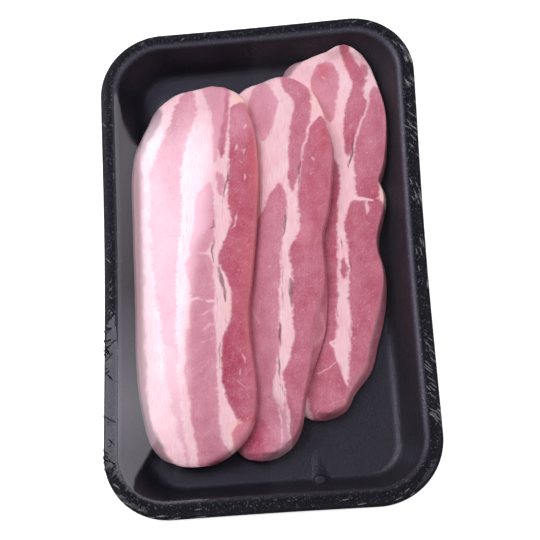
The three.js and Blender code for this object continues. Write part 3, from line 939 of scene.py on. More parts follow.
@dataclass(frozen=True)
class BellySlice:
    """One slice, laid on its cut face, with the tissues that run through it.

    Attributes:
        node: Node that it replaces.
        strips: Its bands of tissue.
        strokes: Its gaps and flecks.
        patches: Areas where its lean is paler, deeper or warmer.
        nudges: Pulls that give its upper edge its shape.
        flare: How far the right side leans out at its upper edge and at its lower edge.
        levels: How often the node's own facets are divided.
    """

    node: str
    strips: tuple[Strip, ...]
    strokes: tuple[Stroke, ...]
    patches: tuple[Patch, ...]
    nudges: tuple[Nudge, ...]
    flare: tuple[float, float]
    levels: int = 3
    # Facets: how near points are welded, what is joined to four sides, and what stays a crisp edge.
    weld: float = 0.002
    join_angle: float = 60
    sharp_angle: float = 38
    sharpness: float = 0.75
    # How near a line upper facets are divided once more, and how far up these and the cut face look.
    fine_reach: float = 0.7
    upper_facing: float = 0.3
    face_facing: float = 0.7
    # Depth below the cut face at which pulls on its upper edge end.
    thickness: float = 7
    # Pale line along the upper edge of the right side: a thin membrane, with painted light glowing through
    # the edge.
    membrane_depth: float = 0.7
    membrane_width: float = 1.4
    membrane_share: float = 0.45
    membrane_facing: float = 1.5
    # Relief: lean that swells, sunk seams and gaps, and an uneven surface at two sizes.
    lean_swell: float = 0.1
    swell_width: float = 2.5
    seam_groove: float = 0.08
    seam_offset: float = 0.3
    seam_width: float = 0.7
    gap_depth: float = 0.6
    gap_width: float = 0.8
    unevenness: float = 0.18
    uneven_size: float = 5
    fine_ratio: float = 3
    fine_share: float = 0.45
    relief_turn: float = 0.2
    # How fast one strip's tone gives way to the next one's, and how far from its edge that goes on.
    blend_rate: float = 2
    blend_reach: tuple[float, float] = (-6, 2)
    # Sizes at which the edges of tissues wander, and how far.
    wander: tuple[tuple[float, float], ...] = ((7, 1.0), (2.6, 0.5))
    wander_seed: int = 5

    def smooth_copy(self) -> Mesh:
        """Gives a finely divided copy of the node's facets that keeps its cut edges crisp."""
        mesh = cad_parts[self.node].data.copy()
        body = bmesh.new()
        body.from_mesh(mesh)
        bmesh.ops.remove_doubles(body, verts=body.verts, dist=self.weld * MM)
        widest = math.radians(self.join_angle)
        bmesh.ops.join_triangles(
            body, faces=body.faces, angle_face_threshold=widest, angle_shape_threshold=widest
        )
        crease = body.edges.layers.float.new("crease_edge")
        for edge in body.edges:
            if edge.calc_face_angle(0) > math.radians(self.sharp_angle):
                edge[crease] = self.sharpness
        body.to_mesh(mesh)
        body.free()
        piece = bpy.data.objects.new("rough", mesh)
        bpy.context.scene.collection.objects.link(piece)
        divide = piece.modifiers.new("divide", "SUBSURF")
        divide.levels = divide.render_levels = self.levels
        fine = evaluated_mesh(piece)
        bpy.data.objects.remove(piece)
        return fine

    def refine(self, mesh: Mesh) -> None:
        """Divides once more the upper facets that gaps and flecks cross, so that thin lines are whole."""
        body = bmesh.new()
        body.from_mesh(mesh)
        middles = np.array([face.calc_center_median() for face in body.faces]) * PER_METRE
        upward = np.array([face.normal.z for face in body.faces]) > self.upper_facing
        x, y = self.wandering(middles)
        nearest = np.max([stroke.inside(x, y) for stroke in self.strokes], 0)
        crossed = upward & (nearest > -self.fine_reach)
        chosen = [face for face, is_crossed in zip(body.faces, crossed) if is_crossed]
        edges = list(dict.fromkeys(edge for face in chosen for edge in face.edges))
        bmesh.ops.subdivide_edges(body, edges=edges, cuts=1, use_grid_fill=True)
        body.to_mesh(mesh)
        body.free()

    def wandering(self, points: np.ndarray) -> tuple[np.ndarray, np.ndarray]:
        """Shifts places a little, so that the tissues drawn there get uneven edges.

        Args:
            points: Places in millimetres.

        Returns:
            Shifted places across the tray and along it.
        """
        noise.seed_set(self.wander_seed)
        plan = points * [1, 1, 0]
        shift = np.zeros_like(plan)
        for size, reach in self.wander:
            shift += reach * np.array([noise.noise_vector(Vector(point) / size) for point in plan])
        return points[:, 0] + shift[:, 0], points[:, 1] + shift[:, 1]

    def tissues(self, x: np.ndarray, y: np.ndarray) -> dict[str, np.ndarray]:
        """Works out what tissue lies at places of the slice.

        Args:
            x: Places across the tray.
            y: Places along it.

        Returns:
            One number a place for each of the slice's fields.
        """
        found = {tissue.value: np.full_like(x, FAR_OUTSIDE) for tissue in Tissue}
        for name in ("gap_share", "fleck_share", "tone", "fringe", "warm"):
            found[name] = np.zeros_like(x)
        weights = np.zeros_like(x)
        for strip in self.strips:
            inside = strip.inside(x, y)
            name = strip.tissue.value
            found[name] = np.maximum(found[name], inside)
            if strip.tissue is Tissue.LEAN:
                weight = np.exp(np.clip(inside, *self.blend_reach) * self.blend_rate)
                weights += weight
                found["tone"] += weight * strip.tone_at(y)
                found["fringe"] += weight * strip.fringe
        found["tone"] /= weights
        found["fringe"] /= weights
        for patch in self.patches:
            found["tone"] += patch.tone * patch.share(x, y)
            found["warm"] += patch.warm * patch.share(x, y)
        for stroke in self.strokes:
            inside = stroke.inside(x, y)
            name = stroke.tissue.value
            found[f"{name}_share"] = np.where(inside > found[name], stroke.strength, found[f"{name}_share"])
            found[name] = np.maximum(found[name], inside)
        return found

    def depth_below(self, points: np.ndarray, normals: np.ndarray) -> np.ndarray:
        """Measures how deep places lie below the cut face.

        Args:
            points: Places in millimetres.
            normals: Directions that the surface faces there.

        Returns:
            One depth for each place.
        """
        indices = np.flatnonzero(normals[:, 2] > self.face_facing)
        tops = KDTree(len(indices))
        for index in indices:
            tops.insert((points[index, 0], points[index, 1], 0), index)
        tops.balance()
        nearest = [tops.find((x, y, 0))[1] for x, y in points[:, :2]]
        return np.maximum(points[nearest, 2] - points[:, 2], 0)

    def relief(self, points: np.ndarray, found: dict[str, np.ndarray]) -> np.ndarray:
        """Works out how far the flesh stands up: lean swells, seams and gaps are sunk.

        Args:
            points: Places in millimetres.
            found: What tissues lie there.

        Returns:
            One height for each place.
        """
        lean = found["lean"]
        places = [Vector(point) / self.uneven_size for point in points]
        uneven = np.array([noise.noise(place) for place in places])
        fine = np.array([noise.noise(place * self.fine_ratio) for place in places])
        height = self.unevenness * (uneven + self.fine_share * fine)
        height += self.lean_swell * smooth(lean / self.swell_width)
        height -= self.seam_groove * np.exp(-((lean + self.seam_offset) / self.seam_width) ** 2)
        return height - self.gap_depth * found["gap_share"] * across_edge(found["gap"], self.gap_width)

    def pulled(self, points: np.ndarray, normals: np.ndarray, depth: np.ndarray) -> np.ndarray:
        """Works out how far the upper edge is drawn out over the side.

        Args:
            points: Places in millimetres.
            normals: Directions that the surface faces there.
            depth: How deep below the cut face each place lies.

        Returns:
            One shift across, along and up for each place.
        """
        upper = np.clip(1 - depth / self.thickness, 0, 1)
        top, bottom = self.flare
        shift = np.zeros_like(points)
        shift[:, 0] = smooth(normals[:, 0]) * (bottom + (top - bottom) * upper)
        for nudge in self.nudges:
            away = np.hypot(points[:, 0] - nudge.x, points[:, 1] - nudge.y)
            shift[:, :2] += np.outer(smooth(1 - away / nudge.reach) * upper, nudge.pull)
        return shift

    def build(self, material: Material) -> Object:
        """Builds the slice.

        Args:
            material: Finish of all slices.

        Returns:
            The finished slice.
        """
        mesh = self.smooth_copy()
        self.refine(mesh)
        points = read_points(mesh)
        normals = np.empty(len(points) * 3)
        mesh.vertices.foreach_get("normal", normals)
        normals = normals.reshape(-1, 3)
        found = self.tissues(*self.wandering(points))
        depth = self.depth_below(points, normals)
        # Only sides that face right get the pale line: a thin membrane plus painted glow of light through the
        # edge.
        band = np.exp(-((depth - self.membrane_depth) / self.membrane_width * 2) ** 2)
        found["membrane_and_glow"] = self.membrane_share * band * smooth(normals[:, 0] * self.membrane_facing)
        height = self.relief(points, found) * smooth(normals[:, 2] + self.relief_turn)
        moved = points + normals * height[:, None] + self.pulled(points, normals, depth)
        mesh.vertices.foreach_set("co", (moved * MM).ravel())
        for name in SLICE_FIELDS:
            store_values(mesh, name, found[name])
        mesh.update()
        piece = make_object(f"belly_{self.node}", mesh, material)
        register(piece, Slot.BELLY, self.node)
        return piece


def left_slice() -> BellySlice:
    """Gives the top slice, with its rind against the left wall."""
    lean, rind, cream, gap, fleck = Tissue.LEAN, Tissue.RIND, Tissue.CREAM, Tissue.GAP, Tissue.FLECK
    strips = (
        Strip(rind, (
            (78, -46, -43), (70, -56, -44.4), (60, -62, -50), (50, -64, -52.3), (10, -64, -52.2),
            (-45, -64, -52.4), (-60, -62, -51.9), (-70, -60, -50.3), (-76, -58, -47.2), (-80, -56, -44.4),
            (-88, -54, -39.3),
        )),
        Strip(lean, (
            (86, -34, -29.5), (80, -36, -28), (75, -38.5, -27), (70, -39.5, -29.5), (65, -42, -31),
            (60, -44.5, -33), (50, -48, -35), (45, -49.5, -36), (25, -50, -35.5), (15, -49.5, -37),
            (0, -49, -39), (-20, -47, -39.5), (-30, -45.2, -39.8), (-50, -43.8, -39.6),
            (-60, -42.2, -38.7), (-70, -40.1, -37.8), (-88, -36.3, -34.8),
        ), tone=(0.2, 0.05), fringe=1.0),
        Strip(lean, (
            (88, -24, -14), (83, -25, -14), (75, -22, -14), (66, -20.5, -15), (57, -20, -17),
            (50, -20.5, -18.5), (46, -20, -19),
        ), tone=(-0.15, -0.15)),
        Strip(lean, (
            (84, -15.6, -13.4), (75, -15.5, -12.6), (66, -17.5, -13.3), (60, -18.5, -14), (57, -19, -14.5),
            (53, -18.2, -15), (48, -17, -16.3),
        ), tone=(0.55, 0.8)),
        Strip(lean, (
            (43, -20, -19), (40, -20.3, -16.8), (36, -20, -16), (30, -18.8, -16.8),
        ), tone=(0.25, 0.25)),
        Strip(lean, (
            (39, -23.5, -22.5), (35, -28, -21.5), (30, -29.5, -21), (20, -31, -20.5), (10, -32, -22),
            (6, -33, -23),
        ), tone=(-0.08, 0.1)),
        Strip(lean, (
            (6.5, -32, -29), (5.5, -34.5, -25), (0, -35, -22), (-10, -33, -21.5), (-20, -34, -22.5),
            (-35, -35, -22), (-45, -33.5, -22), (-60, -34.5, -22), (-70, -33.5, -21.5), (-80, -32, -20.5),
            (-88, -31, -10),
        ), tone=(0.12, 0.38)),
        Strip(lean, (
            (-26, -35.3, -34), (-35, -36, -33.8), (-45, -36, -32.5), (-55, -35.5, -33), (-60, -34.8, -34),
        ), tone=(0.1, 0.15)),
        Strip(lean, (
            (74, -11, -7), (70, -12.4, -4), (65, -12.8, -1), (60, -13, 2), (50, -13.5, 2), (40, -14.5, 2),
            (30, -14.5, 2), (22, -13, 2), (12, -16, 2), (5, -19, 2), (0, -20, 2), (-3, -18, 2), (-10, -15, 2),
            (-20, -14.5, 2), (-28, -15.5, 2), (-34, -19, 2), (-45, -20, 2), (-55, -19.5, 2), (-62, -18, 2),
            (-66, -15, -3), (-70, -13, -6), (-73, -12, -9),
        ), tone=(0.92, 1.02)),
        Strip(lean, ((-69, -10, -2), (-73, -15, -3), (-78, -16.5, -6), (-83, -16, -9)), tone=(0.1, 0.2)),
        Strip(cream, (
            (82, -13.5, -10.5), (78, -12, -5), (74, -12, -2), (70, -9, 0), (66, -5.5, 0), (60, -2.5, 1),
        )),
        Strip(cream, (
            (-63, -6, -2), (-67, -9, -2), (-69, -14, -3), (-72, -17, -4), (-76, -17, -6), (-80, -17, -10),
            (-84, -16, -13),
        )),
        Strip(cream, ((-12, -16, -14), (-18, -17, -14.5), (-25, -17, -15.5))),
    )
    strokes = (
        Stroke(gap, ((-14.7, 45), (-15, 38), (-16, 33), (-16.8, 27)), 1.0, 0.8),
        Stroke(gap, ((-23.5, 16), (-21.3, 16.8), (-20.8, 20)), 1.1, 0.8),
        Stroke(gap, ((-21.7, 12), (-21.8, 8), (-22.3, 3), (-22, 0)), 0.8, 0.75),
        Stroke(gap, ((-20, -1), (-18.8, -6), (-17.4, -12), (-17, -18)), 1.7, 0.7),
        Stroke(gap, ((-17.5, -25), (-15.5, -29)), 0.6, 0.5),
        Stroke(gap, ((-20.4, -36), (-21, -47)), 0.9, 0.7),
        Stroke(gap, ((-35.5, 45), (-34.5, 38), (-33.5, 30), (-33.8, 20), (-35.5, 10), (-35, 2)), 0.3, 0.35),
        Stroke(gap, ((-32.3, 24), (-33, 14), (-34.6, 6)), 0.3, 0.3),
        Stroke(gap, ((-37.3, 3), (-37, -8)), 0.3, 0.3),
        Stroke(gap, ((-21.2, -10), (-21, -24), (-22.5, -32)), 0.3, 0.35),
        Stroke(gap, ((-33.2, 58), (-33.9, 56)), 0.7, 0.4),
        Stroke(fleck, ((-7.5, 61.5), (-5.8, 63.5)), 0.7, 0.8),
        Stroke(fleck, ((-10.5, 51.5), (-9.5, 54)), 0.7, 0.8),
        Stroke(fleck, ((-6.8, 49), (-6.3, 52)), 0.6, 0.7),
        Stroke(fleck, ((-9, 47), (-8, 45)), 0.5, 0.6),
        Stroke(fleck, ((-7.5, 39), (-6.8, 36)), 0.5, 0.7),
        Stroke(fleck, ((-14, 15), (-12.3, 15.5), (-10.6, 22)), 0.8, 0.8),
        Stroke(fleck, ((-14, 22), (-13.4, 17)), 0.7, 0.7),
        Stroke(fleck, ((-34.5, -14), (-31, -13.8), (-28, -15)), 1.1, 1.0),
        Stroke(fleck, ((-26.5, -16), (-24.5, -17.2), (-21, -17)), 1.5, 1.0),
        Stroke(fleck, ((-30.5, -21.6), (-26, -21.8), (-22, -20.5)), 0.5, 0.7),
        Stroke(fleck, ((-28, -28.5), (-25, -27.5), (-22, -27.8)), 2.0, 0.4),
        Stroke(fleck, ((-31, -35), (-26, -34), (-22, -33)), 0.5, 0.7),
        Stroke(fleck, ((-29.5, -46.5), (-28.8, -45.5)), 0.8, 0.8),
        Stroke(fleck, ((-28.4, -44.8), (-24.5, -42)), 0.3, 0.5),
        Stroke(fleck, ((-43, -36), (-41, -58), (-38.5, -74), (-35.5, -87)), 6, 0.35, end_width=0.8),
        Stroke(fleck, ((-11.5, -40), (-10.2, -44), (-10.2, -45.5)), 0.5, 0.7),
        Stroke(fleck, ((-12, -48), (-12, -50.5)), 0.5, 0.5),
        Stroke(fleck, ((-13, -53.5), (-10, -56)), 0.4, 0.6),
    )
    patches = (
        Patch(-9, 64, 8, 13, tone=-0.55),
        Patch(-40, 56, 11, 34, tone=0.55),
        # Warmer lean along the right edge: partly its own colour, partly painted glow of light through the
        # thin edge.
        Patch(-6, 0, 14, 80, warm=0.3),
        Patch(0, 45, 8, 26, warm=0.5),
        Patch(-3, -6, 9, 26, tone=-0.1, warm=0.35),
        Patch(1, 0, 6, 75, warm=0.25),
        Patch(-8, -58, 8, 14, tone=-0.2),
        Patch(-15, -46, 8, 20, tone=0.1),
        Patch(-10, -76, 10, 11, warm=0.5),
        Patch(-16, -88, 22, 5, tone=0.8),
    )
    nudges = (Nudge(-7, 76, 10, (1.2, 1.4)),)
    return BellySlice("slice_left", strips, strokes, patches, nudges, flare=(0.3, -0.1))


def middle_slice() -> BellySlice:
    """Gives the slice between the other two."""
    lean, cream, gap, fleck = Tissue.LEAN, Tissue.CREAM, Tissue.GAP, Tissue.FLECK
    strips = (
        Strip(lean, (
            (85.5, 0, 3), (83, -2, 4), (78, -3.5, 8), (73, -4.5, 10), (65, -3, 6.5), (60, -1, 4.5),
            (55, 1.5, 2.5),
        ), tone=(0.02, 0.12)),
        Strip(lean, (
            (88, 10, 16), (85, 10.2, 18.5), (80, 12, 22), (75, 14.5, 22.6), (70, 15.8, 23), (60, 14, 22),
            (50, 12.5, 20), (45, 12.5, 18.5), (40, 12, 17), (35, 12, 15.5), (29, 12.8, 13.4),
        ), tone=(0.6, 0.68)),
        Strip(lean, (
            (35, 8.2, 8.8), (32, 5, 9.5), (27, 1.5, 11), (20, -2, 10.5), (10, -16, 9), (0, -18, 7),
            (-10, -18, 6.5), (-20, -18, 6), (-30, -18, 5.5), (-40, -18, 4.5), (-50, -18, 3.5),
            (-55, -18, 1), (-62, -18, 2), (-70, -18, 4), (-80, -18, 3), (-88, -18, 0),
        ), tone=(0.5, 0.38)),
        Strip(lean, (
            (64, 26.5, 27.5), (60, 23, 29.5), (55, 22, 36), (50, 20, 36), (40, 17.5, 36), (30, 15.5, 36),
            (20, 16, 36), (10, 16, 36), (5, 10.5, 36), (-10, 11.5, 36), (-20, 11.5, 36), (-30, 10.5, 36),
            (-35, 12.5, 36), (-40, 10, 36), (-50, 6.5, 36), (-55, 6, 36), (-62, 6.5, 36), (-70, 8, 36),
            (-80, 7.5, 36), (-88, 4, 36),
        ), tone=(0.88, 0.75)),
        Strip(cream, (
            (83, 19.5, 23), (80, 20.8, 26), (75, 22.9, 29), (70, 24.6, 31), (65, 26.2, 32), (60, 28, 33),
            (56, 30, 33),
        )),
        Strip(lean, (
            (-62, 5.5, 5.8), (-68, 4.6, 6.2), (-74, 4, 6.8), (-80, 3.2, 7), (-87, 0.5, 4),
        ), tone=(-0.1, 0.1)),
        Strip(cream, ((14, 17, 18.5), (12, 16.5, 19), (9.5, 17, 18.5))),
        Strip(cream, ((-38.5, 8.5, 11), (-41, 8, 11.5), (-44, 8.5, 10.5))),
    )
    strokes = (
        Stroke(gap, ((11, 23), (10.6, 17), (9, 10)), 1.0, 0.75),
        Stroke(gap, ((10.8, -9), (11.3, -16), (10.6, -23)), 1.6, 0.7),
        Stroke(gap, ((8, 2), (7.4, -10), (7.8, -24)), 0.4, 0.5),
        Stroke(gap, ((5.4, -29), (5, -39)), 1.4, 0.75),
        Stroke(gap, ((4.2, -43), (4.6, -50), (4.8, -54)), 0.9, 0.65),
        Stroke(gap, ((4.4, -56), (5.8, -61)), 0.5, 0.5),
        Stroke(gap, ((3.4, -65), (4.4, -70)), 0.5, 0.5),
        Stroke(gap, ((18, 46), (17, 41), (16, 33)), 1.0, 0.75),
        Stroke(gap, ((0.5, -60), (-2.5, -60.4)), 0.4, 0.4),
        Stroke(fleck, ((21, 55), (19.4, 50), (18, 45)), 0.7, 0.7),
        Stroke(fleck, ((6.8, -55.5), (0.5, -55)), 0.9, 0.8),
        Stroke(fleck, ((4, 72), (6, 70.5)), 0.7, 0.6),
        Stroke(fleck, ((23, 45), (24, 43.5)), 0.9, 0.8),
        Stroke(fleck, ((22.5, 38.5), (21.8, 37)), 0.7, 0.7),
        Stroke(fleck, ((1.5, -2.5), (3, -3.2)), 0.5, 0.5),
        Stroke(fleck, ((-6.4, -18.5), (-5.8, -22), (-3.9, -27.5)), 0.6, 0.5),
        Stroke(gap, ((-4, -14.6), (-2.2, -16.5), (-2.4, -23.5), (-4.4, -28.3)), 0.4, 0.35),
        Stroke(fleck, ((2.2, -14.5), (3.2, -15)), 0.6, 0.5),
        Stroke(fleck, ((4, -31.5), (6.5, -31)), 0.7, 0.8),
    )
    patches = (
        Patch(17.5, 11, 6, 8, tone=-0.5, warm=0.4),
        Patch(28, 54, 7, 14, warm=0.3),
        Patch(24, 30, 8, 16, warm=0.2),
        # Painted shadow: deeper lean on the near-left corner, where the left slice shades it.
        Patch(-8, -77, 10, 14, tone=0.65),
    )
    nudges = (Nudge(-5, 79, 9, (-0.8, 1.6)), Nudge(27, 70, 18, (0.9, 0.5)))
    return BellySlice("slice_middle", strips, strokes, patches, nudges, flare=(0.2, -0.4))


def right_slice() -> BellySlice:
    """Gives the lowest slice, which lies on the tray's floor."""
    lean, rind, cream, gap, fleck = Tissue.LEAN, Tissue.RIND, Tissue.CREAM, Tissue.GAP, Tissue.FLECK
    strips = (
        Strip(rind, ((96.5, 17.5, 20.8), (94, 13, 21.6), (91.5, 9, 19.8), (90, 7, 18), (86, 4, 13.5))),
        Strip(lean, (
            (92.5, 28, 33), (90, 26, 35), (85, 23.5, 36.5), (80, 23.5, 36.2), (75, 26, 35.4),
            (70, 28.5, 34), (64, 30.5, 32),
        ), tone=(0.35, 0.25)),
        Strip(lean, (
            (101, 37.5, 41), (98, 37, 42), (95, 38.5, 42.5), (90, 40, 45), (85, 41.5, 49),
            (82, 42.5, 47.8), (78, 41.5, 46), (74, 40, 47), (70, 38.5, 47.3), (63, 37.3, 45.2),
            (60, 37, 44.2), (50, 36.5, 40.3), (46, 37.8, 38.2),
        ), tone=(0.75, 0.85)),
        Strip(lean, ((91, 46, 48), (87, 45.5, 49.5), (83, 46, 49)), tone=(0.6, 0.6)),
        Strip(lean, (
            (80, 50.6, 51.5), (75, 48.6, 56), (70, 47.4, 60), (63, 45.4, 62), (60, 44.3, 62),
            (50, 40.8, 62), (40, 40, 62), (35, 41, 51.5), (30, 40.5, 50.8), (27, 41, 50.8), (25, 42, 50.8),
        ), tone=(0.5, 0.95)),
        Strip(lean, (
            (26, 38.5, 50.8), (22, 37.5, 51.2), (20, 35.5, 53), (17, 35.3, 60), (10, 35, 60), (0, 36, 60),
            (-10, 35.5, 60), (-20, 34.5, 60), (-30, 35, 60), (-40, 34, 60), (-50, 33.5, 60), (-57, 33, 60),
            (-64, 34, 60), (-74, 36, 60),
        ), tone=(0.94, 0.68)),
        Strip(lean, (
            (47, 30.5, 33.4), (40, 26, 34.8), (30, 18, 33.6), (26, 10, 32.6), (20, 8, 32.3), (0, 6, 30.9),
            (-20, 6, 30), (-35, 8, 28), (-38, 8, 27), (-45, 8, 28.5), (-55, 10, 31), (-60, 14.5, 36),
            (-65, 15.8, 40), (-74, 17, 40),
        ), tone=(0.98, 0.8)),
        Strip(lean, ((0.5, 33, 34), (-3, 32, 35), (-8, 32, 35), (-11, 33, 34)), tone=(0.8, 0.8)),
        Strip(cream, ((33.5, 51, 53), (31, 50.5, 54.5), (26, 50.8, 54.5), (21.5, 51.2, 54))),
    )
    strokes = (
        Stroke(gap, ((41, 54), (40.2, 50), (38, 41)), 1.1, 0.8),
        Stroke(gap, ((36.5, 1), (36.4, -4), (35.5, -9)), 0.6, 0.7),
        Stroke(gap, ((33, 10), (33, 4)), 0.6, 0.6),
        Stroke(gap, ((30, -17), (29.5, -26)), 0.5, 0.6),
        Stroke(gap, ((33.5, -33), (33.8, -37)), 0.5, 0.5),
        Stroke(fleck, ((29, 86), (30.2, 85)), 0.7, 0.7),
        Stroke(fleck, ((37, 27.3), (41, 26), (47.5, 24.8)), 2.0, 0.9, end_width=0.5),
        Stroke(fleck, ((45.5, 24.5), (45.2, 21), (44.6, 18)), 1.5, 0.8),
        Stroke(fleck, ((48.6, 75), (46, 66.4), (43, 56.4), (41, 51)), 1.0, 0.55),
        Stroke(fleck, ((20, -50.3), (24, -49), (29, -46.5)), 0.5, 0.8),
        Stroke(fleck, ((34.5, -34), (26, -37), (29.5, -42)), 1.0, 0.9),
        Stroke(fleck, ((24, -65.5), (30, -63)), 0.5, 0.5),
    )
    patches = (
        Patch(29, 88, 6, 6, warm=0.5),
        Patch(40, 92, 5, 8, warm=0.4),
        Patch(35, -62, 6, 8, tone=-0.2),
    )
    nudges = (Nudge(14, 91, 10, (-1.4, 1.6)), Nudge(53, 64, 32, (0.8, 0.2)))
    return BellySlice("slice_right", strips, strokes, patches, nudges, flare=(0.3, 0.0))


@dataclass(frozen=True)
class FilmFinish:
    """Clear stretch film, cast and drawn tight: colourless, with sharp bright reflections."""

    tint: str = "#FCFCFD"
    roughness: float = 0.02
    reflectance: float = 0.075  # both faces of the film reflect
    grazing: float = 0.35
    falloff: float = 5

    def material(self) -> Material:
        """Builds the material: clear straight through, with gloss that grows towards grazing sight."""
        material, tree = new_material("stretch_film_clear")
        facing = add_node(tree, "ShaderNodeLayerWeight", {"Blend": 0.5}).outputs["Facing"]
        grazing = add_node(tree, "ShaderNodeMath", {0: facing, 1: self.falloff}, operation="POWER").outputs[0]
        span = {"Value": grazing, "To Min": self.reflectance, "To Max": self.grazing}
        share = add_node(tree, "ShaderNodeMapRange", span).outputs[0]
        clear = add_node(tree, "ShaderNodeBsdfTransparent", {"Color": linear(self.tint)})
        gloss = add_node(tree, "ShaderNodeBsdfAnisotropic", {"Roughness": self.roughness})
        shader = add_node(tree, "ShaderNodeMixShader", {0: share, 1: clear.outputs[0], 2: gloss.outputs[0]})
        add_node(tree, "ShaderNodeOutputMaterial", {"Surface": shader.outputs[0]})
        return material


class Fold(Enum):
    """How a fold in the film looks: pale where its layers scatter the light, dark as painted shade where it
    would mirror nothing bright.
    """

    PALE = "pale"
    DARK = "dark"


@dataclass(frozen=True)
class FoldFinish:
    """Stretch film folded on itself, which hides part of what lies under it.

    Attributes:
        colour: Colour of the folded layers.
        cover: How far they hide what lies under them.
    """

    colour: str
    cover: float

    def material(self, fold: Fold) -> Material:
        """Builds the material of one kind of fold."""
        material, tree = new_material(f"stretch_film_folded_{fold.value}")
        clear = add_node(tree, "ShaderNodeBsdfTransparent")
        layers = add_node(tree, "ShaderNodeBsdfDiffuse", {"Color": linear(self.colour)})
        shader = add_node(
            tree, "ShaderNodeMixShader", {0: self.cover, 1: clear.outputs[0], 2: layers.outputs[0]}
        )
        add_node(tree, "ShaderNodeOutputMaterial", {"Surface": shader.outputs[0]})
        return material


# The dark folds are painted shade: near-black strokes where folds would mirror nothing bright.
FOLD_FINISHES = {Fold.PALE: FoldFinish("#F4F4F6", 0.075), Fold.DARK: FoldFinish("#08080B", 0.75)}


@dataclass(frozen=True)
class GatherZone:
    """A stretch of the rim where the film is gathered in pleats.

    Attributes:
        x: Its middle, across the tray.
        y: Its middle, along the tray.
        reach: How far from there it goes.
        strength: How deep the pleats are, as a share of the deepest.
        turn: How far its creases turn from across the rim to along it, as a slope.
        fold: How its creases look.
    """

    x: float
    y: float
    reach: float
    strength: float
    turn: float = 0.9
    fold: Fold = Fold.PALE


